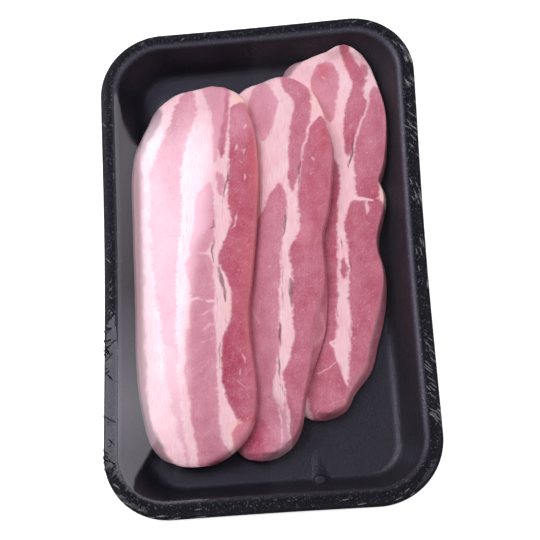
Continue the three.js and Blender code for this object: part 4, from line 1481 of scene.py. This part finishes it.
@dataclass(frozen=True)
class StretchFilm:
    """Film bag: flat over the top, bent over the rim, drawn in below it and shut under the tray."""

    shape: PackShape
    finish: FilmFinish
    steps: LoopSteps = LoopSteps(arc=104, side=390, end=200)
    # How far it stands off the foam, how high it lies below, and where its flat top starts, in rim widths.
    stand_off: float = 0.3
    under_z: float = 0.2
    top_start: float = 1.5
    # Steps of its span over the wall, sizes of its flat loops, and the loop that measures the way round.
    span_steps: int = 8
    under_shares: tuple[float, ...] = (0.2, 0.6)
    top_shares: tuple[float, ...] = (0.9, 0.6, 0.3)
    round_loop: int = -8
    # Pleats: distance, length, slope, height, and where in their noise they rise.
    pleat_spacing: float = 1.2
    pleat_length: float = 5
    pleat_slant: float = 0.8
    pleat_depth: float = 0.16
    pleat_range: tuple[float, float] = (0.54, 0.64)
    # Creases: how many lie on a square millimetre, their sizes, and how far they sway.
    crease_density: float = 0.22
    crease_length: tuple[float, float] = (2.2, 5.0)
    crease_width: float = 0.5
    crease_height: float = 0.3
    crease_sway: float = 0.25
    crease_sides: int = 12
    crease_rings: int = 6
    # Where pleats and creases stop short of the crest and of the lip, and how they fade at crest and foot.
    pleat_clear: float = 0.6
    crease_clear: float = 2
    lip_clear: float = 0.8
    crest_fade: float = 1.5
    foot_fade: float = 4
    # Gather of the film between the zones, and how fast a zone comes to the full.
    slack: float = 0.12
    zone_fullness: float = 1.4
    seed: int = 5
    zones: tuple[GatherZone, ...] = (
        GatherZone(-69, -31, 7, 0.7, fold=Fold.DARK),
        GatherZone(-69, -38, 6, 0.8, fold=Fold.DARK),
        GatherZone(-69, -48, 6, 0.8, fold=Fold.DARK),
        GatherZone(-68, -67, 6, 0.7, fold=Fold.DARK),
        GatherZone(-67, -82, 12, 0.8, fold=Fold.DARK),
        GatherZone(-60, -98, 15, 0.8, turn=3),
        GatherZone(-38, -107, 22, 0.5, turn=9),
        GatherZone(30, -108, 22, 0.35, turn=9),
        GatherZone(52, -106, 16, 0.5, turn=9),
        GatherZone(65, -94, 13, 0.5, turn=9),
        GatherZone(67, -73, 8, 1.0),
        GatherZone(67.5, -63, 6, 0.65),
        GatherZone(67.5, -54, 6, 0.65),
        GatherZone(67.5, -45, 6, 0.65),
        GatherZone(67.5, -8, 18, 0.7, turn=6),
        GatherZone(67.5, 22, 11, 0.8, turn=3),
        GatherZone(67.5, 49, 9, 0.9),
        GatherZone(67.5, 62, 7, 0.9),
        GatherZone(66.5, 76, 7, 1.0),
        GatherZone(66, 91, 12, 0.75, turn=9),
        GatherZone(50, 104, 10, 0.6),
        GatherZone(-40, 109, 25, 0.4),
    )

    def profile(self) -> list[ProfilePoint]:
        """Gives the film's section: the foam's own, moved out by the film's stand-off."""
        points = [*self.shape.underside(), *self.wall_span(), *self.shape.lip()]
        across = [point.inset + self.shape.side_run * point.lean for point in points]
        moved = []
        for i, point in enumerate(points):
            before, after = max(0, i - 1), min(len(points) - 1, i + 1)
            run = across[after] - across[before]
            rise = points[after].z - points[before].z
            length = math.hypot(run, rise)
            inset = point.inset - rise / length * self.stand_off
            moved.append(ProfilePoint(inset, point.lean, point.z + run / length * self.stand_off))
        top = self.shape.crest_z + self.stand_off
        moved[0] = ProfilePoint(points[0].inset, points[0].lean, self.under_z)
        moved[-1] = ProfilePoint(points[-1].inset, 0, top)
        moved.append(ProfilePoint(self.top_start * self.shape.rim_width, 0, top))
        return moved

    def wall_span(self) -> list[ProfilePoint]:
        """Gives the stretch where the film spans from the foot of the wall straight to the lip."""
        ends = (self.shape.outer_wall_point(self.shape.foot_bend), self.shape.lip()[0])
        shares = np.linspace(0, 1, self.span_steps + 1)[1:-1]
        return [ProfilePoint(*np.average(ends, 0, (1 - share, share))) for share in shares]

    def gather_at(self, points: np.ndarray) -> tuple[np.ndarray, np.ndarray, np.ndarray]:
        """Gives how strongly the film is gathered at places round the rim.

        Args:
            points: Places in millimetres.

        Returns:
            A share from 0 to 1 for each place, how far the creases turn there, and 1 where they are painted
            dark as shade.
        """
        strength = np.full(len(points), self.slack)
        turn = np.ones(len(points))
        dark = np.zeros(len(points))
        for zone in self.zones:
            distance = np.hypot(points[:, 0] - zone.x, points[:, 1] - zone.y)
            share = zone.strength * smooth(self.zone_fullness * (1 - distance / zone.reach))
            turn = np.where(share > strength, zone.turn, turn)
            dark = np.where(share > strength, zone.fold is Fold.DARK, dark)
            strength = np.maximum(strength, share)
        return strength, turn, dark

    def bag(self) -> Mesh:
        """Makes the smooth bag, with the measures on it that the pleats follow."""
        profile = self.profile()
        loops = [self.shape.loop(point, self.steps) for point in profile]
        under = shrunk_loops(loops[0], self.under_shares)
        rows = [*under, *loops, *shrunk_loops(loops[-1], self.top_shares)]
        mesh = skin_loops(rows)
        count = self.steps.count
        grid = np.array(rows)
        points = grid.reshape(-1, 3)

        # Way round the rim and way over it, from the middle below to the middle on top.
        rim_loop = loops[self.round_loop]
        lengths = np.linalg.norm(np.roll(rim_loop, -1, 0) - rim_loop, axis=1)
        around = np.concatenate([[0], np.cumsum(lengths)[:-1]])
        spans = np.linalg.norm(np.diff(grid[:, 0], axis=0), axis=1)
        over = np.concatenate([[0], np.cumsum(spans)])
        crest_row = len(under) + len(loops) - 2  # the last loop but one lies on the crest
        lip_row = crest_row - self.shape.rim_steps - self.shape.lip_steps // 2
        from_crest = over[crest_row] - over
        from_foot = over - over[len(under)]
        from_lip = over - over[lip_row]
        pleated = smooth((from_crest - self.pleat_clear) / self.crest_fade)
        pleated *= smooth(from_foot / self.foot_fade)
        outer = smooth(from_crest - self.crease_clear) * smooth(from_lip - self.lip_clear)

        # Creases run across the rim and turn along it as their zone says.
        gathered, turn, dark = self.gather_at(points)
        creased = gathered ** 2 * np.repeat(outer, count)
        turned = np.roll(grid, -1, 1) - np.roll(grid, 1, 1)
        turned /= np.linalg.norm(turned, axis=2, keepdims=True)
        crossed = np.gradient(grid, axis=0)
        crossed /= np.linalg.norm(crossed, axis=2, keepdims=True)
        slanted = (crossed + turn.reshape(len(rows), count, 1) * turned).reshape(-1, 3)
        slanted = np.append(slanted, np.zeros((2, 3)), 0)
        direction = mesh.attributes.new("direction", "FLOAT_VECTOR", "POINT")
        direction.data.foreach_set("vector", slanted.astype(np.float32).ravel())
        middles = np.zeros(2)
        for fold, share in ((Fold.PALE, 1 - dark), (Fold.DARK, dark)):
            store_values(mesh, f"{fold.value}_folds", np.append(creased * share, middles))
        store_values(mesh, "around", np.append(np.tile(around, len(rows)), middles) * MM)
        store_values(mesh, "over", np.append(np.repeat(over, count), middles) * MM)
        store_values(mesh, "gather", np.append(gathered * np.repeat(pleated, count), middles))
        return mesh

    def pleat_tree(self) -> NodeTree:
        """Builds the node tree that raises slanted pleats and creases round the rim."""
        tree = bpy.data.node_groups.new("film_pleats", "GeometryNodeTree")
        pleat_sizes = ("Spacing", "Length", "Slant", "Depth")
        crease_sizes = ("Shortest Crease", "Longest Crease", "Crease Width", "Crease Height")
        for kind, names in (
            ("NodeSocketGeometry", ("Geometry",)),
            ("NodeSocketFloat", (*pleat_sizes, "Crease Density", *crease_sizes)),
            ("NodeSocketInt", ("Seed",)),
            ("NodeSocketMaterial", ("Film", "Pale Fold", "Dark Fold")),
        ):
            for name in names:
                tree.interface.new_socket(name, in_out="INPUT", socket_type=kind)
        tree.interface.new_socket("Geometry", in_out="OUTPUT", socket_type="NodeSocketGeometry")
        given = add_node(tree, "NodeGroupInput").outputs
        around, over, gather = [
            add_node(tree, "GeometryNodeInputNamedAttribute", {"Name": name}, data_type="FLOAT").outputs[0]
            for name in ("around", "over", "gather")
        ]
        slanted = add_node(
            tree, "ShaderNodeMath", {0: over, 1: given["Slant"], 2: around}, operation="MULTIPLY_ADD"
        ).outputs[0]
        across, along = [
            add_node(tree, "ShaderNodeMath", {0: way, 1: given[size]}, operation="DIVIDE").outputs[0]
            for way, size in ((slanted, "Spacing"), (over, "Length"))
        ]
        place = add_node(tree, "ShaderNodeCombineXYZ", {"X": across, "Y": along}).outputs[0]
        wave = {"Vector": place, "W": given["Seed"], "Scale": 1.0, "Detail": 1.0}
        waves = add_node(tree, "ShaderNodeTexNoise", wave, noise_dimensions="4D").outputs[0]
        low, high = self.pleat_range
        rise = {"Value": waves, "From Min": low, "From Max": high}
        raised = add_node(tree, "ShaderNodeMapRange", rise, interpolation_type="SMOOTHSTEP").outputs[0]
        for share in (gather, given["Depth"]):
            raised = add_node(tree, "ShaderNodeMath", {0: raised, 1: share}, operation="MULTIPLY").outputs[0]
        normal = add_node(tree, "GeometryNodeInputNormal").outputs[0]
        offset = add_node(
            tree, "ShaderNodeVectorMath", {0: normal, "Scale": raised}, operation="SCALE"
        ).outputs[0]
        moved = add_node(
            tree, "GeometryNodeSetPosition", {"Geometry": given["Geometry"], "Offset": offset}
        ).outputs[0]

        whole = add_node(tree, "GeometryNodeJoinGeometry")
        film = add_node(tree, "GeometryNodeSetMaterial", {"Geometry": moved, "Material": given["Film"]})
        tree.links.new(film.outputs[0], whole.inputs[0])
        for fold in Fold:
            tree.links.new(self.creases(tree, moved, given, fold), whole.inputs[0])
        add_node(tree, "NodeGroupOutput", {"Geometry": whole.outputs[0]})
        return tree

    def creases(
        self, tree: NodeTree, film: NodeSocket, given: bpy.types.bpy_prop_collection, fold: Fold
    ) -> NodeSocket:
        """Lays one kind of sharp creases on the rim, where the film is gathered most.

        Args:
            tree: Tree that gets the nodes.
            film: Film that the creases lie on.
            given: The tree's own inputs.
            fold: Kind of creases.

        Returns:
            The creases, as plain geometry with their finish.
        """
        creased, direction = [
            add_node(tree, "GeometryNodeInputNamedAttribute", {"Name": name}, data_type=kind).outputs[0]
            for name, kind in ((f"{fold.value}_folds", "FLOAT"), ("direction", "FLOAT_VECTOR"))
        ]
        density = add_node(
            tree, "ShaderNodeMath", {0: creased, 1: given["Crease Density"]}, operation="MULTIPLY"
        ).outputs[0]
        spread = {"Mesh": film, "Density": density, "Seed": given["Seed"]}
        spots = add_node(tree, "GeometryNodeDistributePointsOnFaces", spread).outputs
        most = Vector.Fill(3, self.crease_sway)
        reach = {"Min": -most, "Max": most, "Seed": given["Seed"]}
        sway = add_node(tree, "FunctionNodeRandomValue", reach, data_type="FLOAT_VECTOR").outputs["Value"]
        swayed = add_node(tree, "ShaderNodeVectorMath", {0: direction, 1: sway}, operation="ADD").outputs[0]
        turn = add_node(
            tree,
            "FunctionNodeAxesToRotation",
            {"Primary Axis": spots["Normal"], "Secondary Axis": swayed},
            primary_axis="Z",
            secondary_axis="X",
        ).outputs[0]
        lengths = {
            RANDOM_LEAST: given["Shortest Crease"],
            RANDOM_MOST: given["Longest Crease"],
            "Seed": given["Seed"],
        }
        length = add_node(tree, "FunctionNodeRandomValue", lengths, data_type="FLOAT").outputs[RANDOM_RESULT]
        sizes = {"X": length, "Y": given["Crease Width"], "Z": given["Crease Height"]}
        size = add_node(tree, "ShaderNodeCombineXYZ", sizes).outputs[0]
        ball = {"Segments": self.crease_sides, "Rings": self.crease_rings, "Radius": 0.5}
        crease = add_node(tree, "GeometryNodeMeshUVSphere", ball).outputs["Mesh"]
        places = {"Points": spots["Points"], "Instance": crease, "Rotation": turn, "Scale": size}
        laid = add_node(tree, "GeometryNodeInstanceOnPoints", places).outputs[0]
        plain = add_node(tree, "GeometryNodeRealizeInstances", {"Geometry": laid}).outputs[0]
        finish = given[f"{fold.value.capitalize()} Fold"]
        return add_node(tree, "GeometryNodeSetMaterial", {"Geometry": plain, "Material": finish}).outputs[0]

    def build(self) -> Object:
        """Builds the film, with its pleats raised."""
        material = self.finish.material()
        piece = make_object("stretch_film", self.bag(), material)
        tree = self.pleat_tree()
        pleats = piece.modifiers.new("pleats", "NODES")
        pleats.node_group = tree
        sizes = {
            "Spacing": self.pleat_spacing * MM,
            "Length": self.pleat_length * MM,
            "Slant": self.pleat_slant,
            "Depth": self.pleat_depth * MM,
            "Crease Density": self.crease_density * PER_METRE ** 2,
            "Shortest Crease": self.crease_length[0] * MM,
            "Longest Crease": self.crease_length[1] * MM,
            "Crease Width": self.crease_width * MM,
            "Crease Height": self.crease_height * MM,
            "Seed": self.seed,
            "Film": material,
            "Pale Fold": FOLD_FINISHES[Fold.PALE].material(Fold.PALE),
            "Dark Fold": FOLD_FINISHES[Fold.DARK].material(Fold.DARK),
        }
        for item in tree.interface.items_tree:
            if item.in_out == "INPUT" and item.name in sizes:
                pleats[item.identifier] = sizes[item.name]
        work_in_modifiers(piece)
        register(piece, Slot.FILM, "film")
        return piece


@dataclass(frozen=True)
class SoftBox:
    """A flat studio lamp that faces the pack and is kept from mirroring in the film.

    Attributes:
        name: Where it stands.
        place: Its middle, in metres.
        size: Its width and height, in metres.
        radiance: How bright its face is, where lit white paper is about one.
    """

    name: str
    place: tuple[float, float, float]
    size: tuple[float, float]
    radiance: float

    def build(self, only: Object | None = None) -> None:
        """Hangs the lamp.

        Args:
            only: The one piece that it lights and mirrors in, where it is not there for all of them.
        """
        lamp = bpy.data.lights.new(self.name, "AREA")
        lamp.shape = "RECTANGLE"
        lamp.size, lamp.size_y = self.size
        lamp.energy = self.radiance * math.pi * self.size[0] * self.size[1]
        holder = bpy.data.objects.new(self.name, lamp)
        holder.location = self.place
        holder.rotation_euler = Vector(self.place).to_track_quat("Z", "Y").to_euler()
        holder.visible_camera = False
        holder.visible_glossy = only is not None
        if only:
            lit = bpy.data.collections.new(f"lit_by_{self.name}")
            lit.objects.link(only)
            holder.light_linking.receiver_collection = lit
        bpy.context.scene.collection.objects.link(holder)


def lit_material(name: str, colour: str) -> Material:
    """Makes a glowing finish for a card, which keeps on its vertices how bright it is.

    Args:
        name: What the material is.
        colour: Colour of the glow.

    Returns:
        The material.
    """
    material, tree = new_material(name)
    strength = add_node(tree, "ShaderNodeAttribute", attribute_name="glow").outputs["Fac"]
    lit = add_node(tree, "ShaderNodeEmission", {"Color": linear(colour), "Strength": strength})
    add_node(tree, "ShaderNodeOutputMaterial", {"Surface": lit.outputs[0]})
    return material


@dataclass(frozen=True)
class Card:
    """A dim white card far off, which the film and the foam mirror.

    Attributes:
        name: Where it stands.
        rows: Left end, right end and place along, as parts of the directions to them, and how bright it is
            there, where lit white paper is about one.
        distance: How far it stands from the pack.
        colour: Colour of its glow.
    """

    name: str
    rows: tuple[tuple[float, float, float, float], ...]
    distance: float = 3000
    colour: str = "#F6F2FF"

    def build(self) -> None:
        """Hangs the card."""
        ends = [(x, y) for left, right, y, _ in self.rows for x in (left, right)]
        points = np.array([(x, y, math.sqrt(1 - x * x - y * y)) for x, y in ends]) * self.distance * MM
        faces = [(i, i + 1, i + 3, i + 2) for i in range(0, len(ends) - 2, 2)]
        mesh = bpy.data.meshes.new(self.name)
        mesh.from_pydata(points.tolist(), [], faces)
        store_values(mesh, "glow", np.repeat([row[3] for row in self.rows], 2))
        card = make_object(self.name, mesh, lit_material("lit_white_card", self.colour))
        card.visible_camera = False


@dataclass(frozen=True)
class GlarePanel:
    """Pale reflector overhead that the film mirrors to the camera, as a bright veil on the left.

    Attributes:
        wall_stations: Place along the film, left edge and right edge of the veil over the tray's wall.
        wall_radiance: Place along the film and how bright the panel is over the wall there.
        slice_edge: Place along the film and where the brighter veil over the slice starts.
        slice_end: Place along the film and where that veil ends on the right.
        far_radiance: Place across the film and how bright the panel is there, at the veil's far end.
        near_radiance: The same at its near end.
        far_y: Where along the film far_radiance holds.
        near_y: Where along it near_radiance holds.
        near_edge: Two places that the veil's near edge runs through.
        full_to: How far along the slice the veil is at its fullest.
        none_from: Where along the slice it has faded out.
        height: Height of the panel over the film.
        feather: How softly the veil ends on the slice.
        edge_feather: How softly the veil over the slice starts.
        wall_feather: How softly it ends on the wall.
        near_feather: How softly its near edge ends on the wall.
        slice_feather: How softly its near edge ends on the slice.
        step: Distance between the panel's vertices, as the film shows them.
        reach_x: Stretch of the film, across the tray, that the panel covers.
        reach_y: The same along the tray.
        colour: Colour of the panel's glow.
    """

    wall_stations: tuple[tuple[float, float, float], ...] = (
        (84, -84, -67), (76, -84, -62), (57, -84, -54), (48, -84, -44), (-110, -84, -40),
    )
    wall_radiance: tuple[tuple[float, float], ...] = ((-82, 2.2), (-60, 2.9), (-10, 1.1), (45, 1.6))
    slice_edge: tuple[tuple[float, float], ...] = (
        (-88, -39.5), (-80, -44.6), (-76, -47.4), (-70, -50.6), (-60, -51.9), (-45, -52.4), (50, -52.3),
        (60, -50), (70, -44.4), (78, -41.5),
    )
    slice_end: tuple[tuple[float, float], ...] = (
        (-110, -36), (-90, -32), (-65, -30), (-30, -29), (5, -25), (15, -20), (36, -18), (42, -17),
        (50, -16), (80, -16),
    )
    far_radiance: tuple[tuple[float, float], ...] = (
        (-52, 6.8), (-45, 7.8), (-38, 7.2), (-30, 6.4), (-20, 4.8),
    )
    near_radiance: tuple[tuple[float, float], ...] = (
        (-51, 4.2), (-45, 5.0), (-38, 5.4), (-30, 3.6), (-20, 2.0),
    )
    far_y: float = 20
    near_y: float = -60
    near_edge: tuple[tuple[float, float], tuple[float, float]] = ((-47.8, -79), (-55.3, -91))
    full_to: float = 50
    none_from: float = 80
    height: float = 600
    feather: float = 8
    edge_feather: float = 1.5
    wall_feather: float = 2.5
    near_feather: float = 0.6
    slice_feather: float = 36
    step: float = 0.75
    reach_x: tuple[float, float] = (-90, 0)
    reach_y: tuple[float, float] = (-110, 110)
    colour: str = "#F8F3FF"

    def glow(self, x: np.ndarray, y: np.ndarray) -> np.ndarray:
        """Gives how bright the veil is at places of the film.

        Args:
            x: Places across the tray.
            y: Places along it.

        Returns:
            One radiance for each place.
        """
        (x0, y0), (x1, y1) = self.near_edge
        beyond = ((x - x0) * (y1 - y0) - (y - y0) * (x1 - x0)) / math.hypot(x1 - x0, y1 - y0)
        wall = np.interp(y, *np.array(self.wall_radiance).T)
        # The veil over the wall has an outline like that of a strip of fat.
        wall *= smooth(Strip(Tissue.FLECK, self.wall_stations).inside(x, y) / self.wall_feather)
        wall *= smooth(beyond / self.near_feather)
        far, near = [np.interp(x, *np.array(table).T) for table in (self.far_radiance, self.near_radiance)]
        on_slice = near + (far - near) * np.interp(y, (self.near_y, self.far_y), (0, 1))
        on_slice *= smooth((np.interp(y, *np.array(self.slice_end).T) - x) / self.feather)
        on_slice *= smooth((self.none_from - y) / (self.none_from - self.full_to))
        on_slice *= across_edge(beyond, self.slice_feather)
        start = np.interp(y, *np.array(self.slice_edge).T)
        return wall + (on_slice - wall) * across_edge(x - start, self.edge_feather)

    def build(self, camera_place: Vector, film_z: float) -> None:
        """Hangs the panel where the film mirrors it to the camera.

        Args:
            camera_place: Where the camera stands, in millimetres.
            film_z: Height of the film.
        """
        x = np.arange(*self.reach_x, self.step)
        y = np.arange(*self.reach_y, self.step)
        film_x, film_y = np.meshgrid(x, y)
        grow = self.height / (camera_place.z - film_z)
        panel_x = film_x + grow * (film_x - camera_place.x)
        panel_y = film_y + grow * (film_y - camera_place.y)
        panel_z = np.full_like(panel_x, film_z + self.height)
        points = np.stack([panel_x, panel_y, panel_z], 2).reshape(-1, 3) * MM
        wide = len(x)
        faces = [
            (row * wide + i, (row + 1) * wide + i, (row + 1) * wide + i + 1, row * wide + i + 1)
            for row in range(len(y) - 1)
            for i in range(wide - 1)
        ]
        mesh = bpy.data.meshes.new("glare_panel")
        mesh.from_pydata(points.tolist(), [], faces)
        store_values(mesh, "glow", self.glow(film_x.ravel(), film_y.ravel()))
        panel = make_object("glare_panel", mesh, lit_material("lit_reflector_card", self.colour))
        panel.visible_camera = False
        panel.visible_shadow = False


@dataclass(frozen=True)
class Studio:
    """Camera, pale floor and soft lamps round the pack."""

    # Camera: what it looks at, from which side in degrees and from how far, and its lens.
    target: tuple[float, float, float] = (2.62, -6.2, 18.33)
    azimuth: float = 15.62
    elevation: float = 69.55
    roll: float = -19.185
    distance: float = 686.6
    lens: float = 108.0
    sensor: float = 36.0
    clip_start: float = 10
    # Paper on the floor, light of the dim room, and height of the film that mirrors the panel.
    floor_reach: float = 6000
    floor_colour: str = "#F7F7F7"
    floor_roughness: float = 0.9
    floor_glow: float = 1.0
    ambient: float = 0.07
    film_z: float = 20.8
    lamps: tuple[SoftBox, ...] = (
        SoftBox("overhead", (-0.4, 0.5, 1.45), (1.8, 1.6), 2.95),
        SoftBox("fill_right", (0.9, 0.1, 0.8), (0.8, 0.8), 3.0),
    )
    foam_lamps: tuple[SoftBox, ...] = (
        SoftBox("sheen_left", (-1.4, 0.85, 1.2), (1.1, 1.1), 7.2),
        SoftBox("sheen_near", (-0.18, -1.28, 1.52), (0.6, 0.6), 3.4),
        SoftBox("sheen_right", (0.75, -0.1, 1.25), (0.7, 0.7), 2.8),
        SoftBox("sheen_far", (-0.05, 0.19, 0.3), (0.1, 0.1), 2.0),
    )
    cards: tuple[Card, ...] = (
        Card("card_left", ((-0.93, -0.15, 0.0, 0.0), (-0.93, -0.15, 0.15, 1.9), (-0.93, -0.15, 0.26, 1.9))),
        Card("card_near_left", ((-0.75, -0.45, -0.55, 0.7), (-0.75, -0.45, -0.3, 0.7))),
        Card("card_near_right", ((0.45, 0.75, -0.5, 0.5), (0.45, 0.75, -0.15, 0.5))),
        Card("card_far_right", ((0.5, 0.7, 0.55, 1.0), (0.4, 0.6, 0.7, 1.0))),
    )
    glare: GlarePanel = GlarePanel()

    def place_camera(self) -> Vector:
        """Sets the camera at the photograph's angle.

        Returns:
            Its place in millimetres.
        """
        azimuth, elevation, roll = (math.radians(a) for a in (self.azimuth, self.elevation, self.roll))
        back = Vector((
            math.sin(azimuth) * math.cos(elevation),
            -math.cos(azimuth) * math.cos(elevation),
            math.sin(elevation),
        ))
        level = Vector((0, 0, 1)).cross(back).normalized()
        upright = back.cross(level)
        right = level * math.cos(roll) + upright * math.sin(roll)
        up = upright * math.cos(roll) - level * math.sin(roll)
        place = Vector(self.target) + back * self.distance
        lens = bpy.data.cameras.new("camera")
        lens.lens = self.lens
        lens.sensor_width = self.sensor
        lens.clip_start = self.clip_start * MM
        camera = bpy.data.objects.new("camera", lens)
        turn = Matrix((right, up, back)).transposed().to_4x4()
        camera.matrix_world = Matrix.Translation(place * MM) @ turn
        bpy.context.scene.collection.objects.link(camera)
        bpy.context.scene.camera = camera
        return place

    def lay_floor(self) -> None:
        """Lays the pale paper that the pack stands on."""
        reach = self.floor_reach * MM
        mesh = bpy.data.meshes.new("floor")
        corners = [(-reach, -reach, 0), (reach, -reach, 0), (reach, reach, 0), (-reach, reach, 0)]
        mesh.from_pydata(corners, [], [(0, 1, 2, 3)])
        material, tree = new_material("matt_white_paper")
        looks = {
            "Base Color": linear(self.floor_colour),
            "Roughness": self.floor_roughness,
            "Emission Color": linear(self.floor_colour),
            "Emission Strength": self.floor_glow,
        }
        shader = add_node(tree, "ShaderNodeBsdfPrincipled", looks)
        add_node(tree, "ShaderNodeOutputMaterial", {"Surface": shader.outputs[0]})
        floor = make_object("floor", mesh, material)
        floor.visible_glossy = False

    def fill_room(self) -> None:
        """Makes the room dim, so that the film mirrors little but the lamps, and white to the eye."""
        world = bpy.data.worlds.new("studio")
        world.use_nodes = True
        tree = world.node_tree
        tree.nodes.clear()
        dim = add_node(tree, "ShaderNodeBackground", {"Color": (1, 1, 1, 1), "Strength": self.ambient})
        white = add_node(tree, "ShaderNodeBackground", {"Color": (1, 1, 1, 1), "Strength": 1.0})
        seen = add_node(tree, "ShaderNodeLightPath").outputs["Is Camera Ray"]
        mixed = add_node(tree, "ShaderNodeMixShader", {0: seen, 1: dim.outputs[0], 2: white.outputs[0]})
        add_node(tree, "ShaderNodeOutputWorld", {"Surface": mixed.outputs[0]})
        bpy.context.scene.world = world

    def build(self) -> None:
        """Builds the studio."""
        place = self.place_camera()
        self.lay_floor()
        self.fill_room()
        for lamp in (*self.lamps, *self.cards):
            lamp.build()
        self.glare.build(place, self.film_z)
        bpy.context.scene.view_settings.view_transform = "Standard"
        log.info("studio: camera at %s mm", tuple(round(v) for v in place))

    def light_foam(self, tray: Object) -> None:
        """Hangs the lamps that give the foam's bends their sheen."""
        for lamp in self.foam_lamps:
            lamp.build(tray)


def main() -> None:
    """Builds the studio and the pack, piece by piece."""
    logging.basicConfig(level=logging.INFO, format="%(name)s: %(message)s")
    studio = Studio()
    studio.build()
    shape = PackShape()
    tray = FoamTray(shape, FoamFinish()).build()
    studio.light_foam(tray)
    flesh = BellyFinish().material()
    for belly_slice in (left_slice(), middle_slice(), right_slice()):
        belly_slice.build(flesh)
    StretchFilm(shape, FilmFinish()).build()


if __name__ == "__main__":
    main()
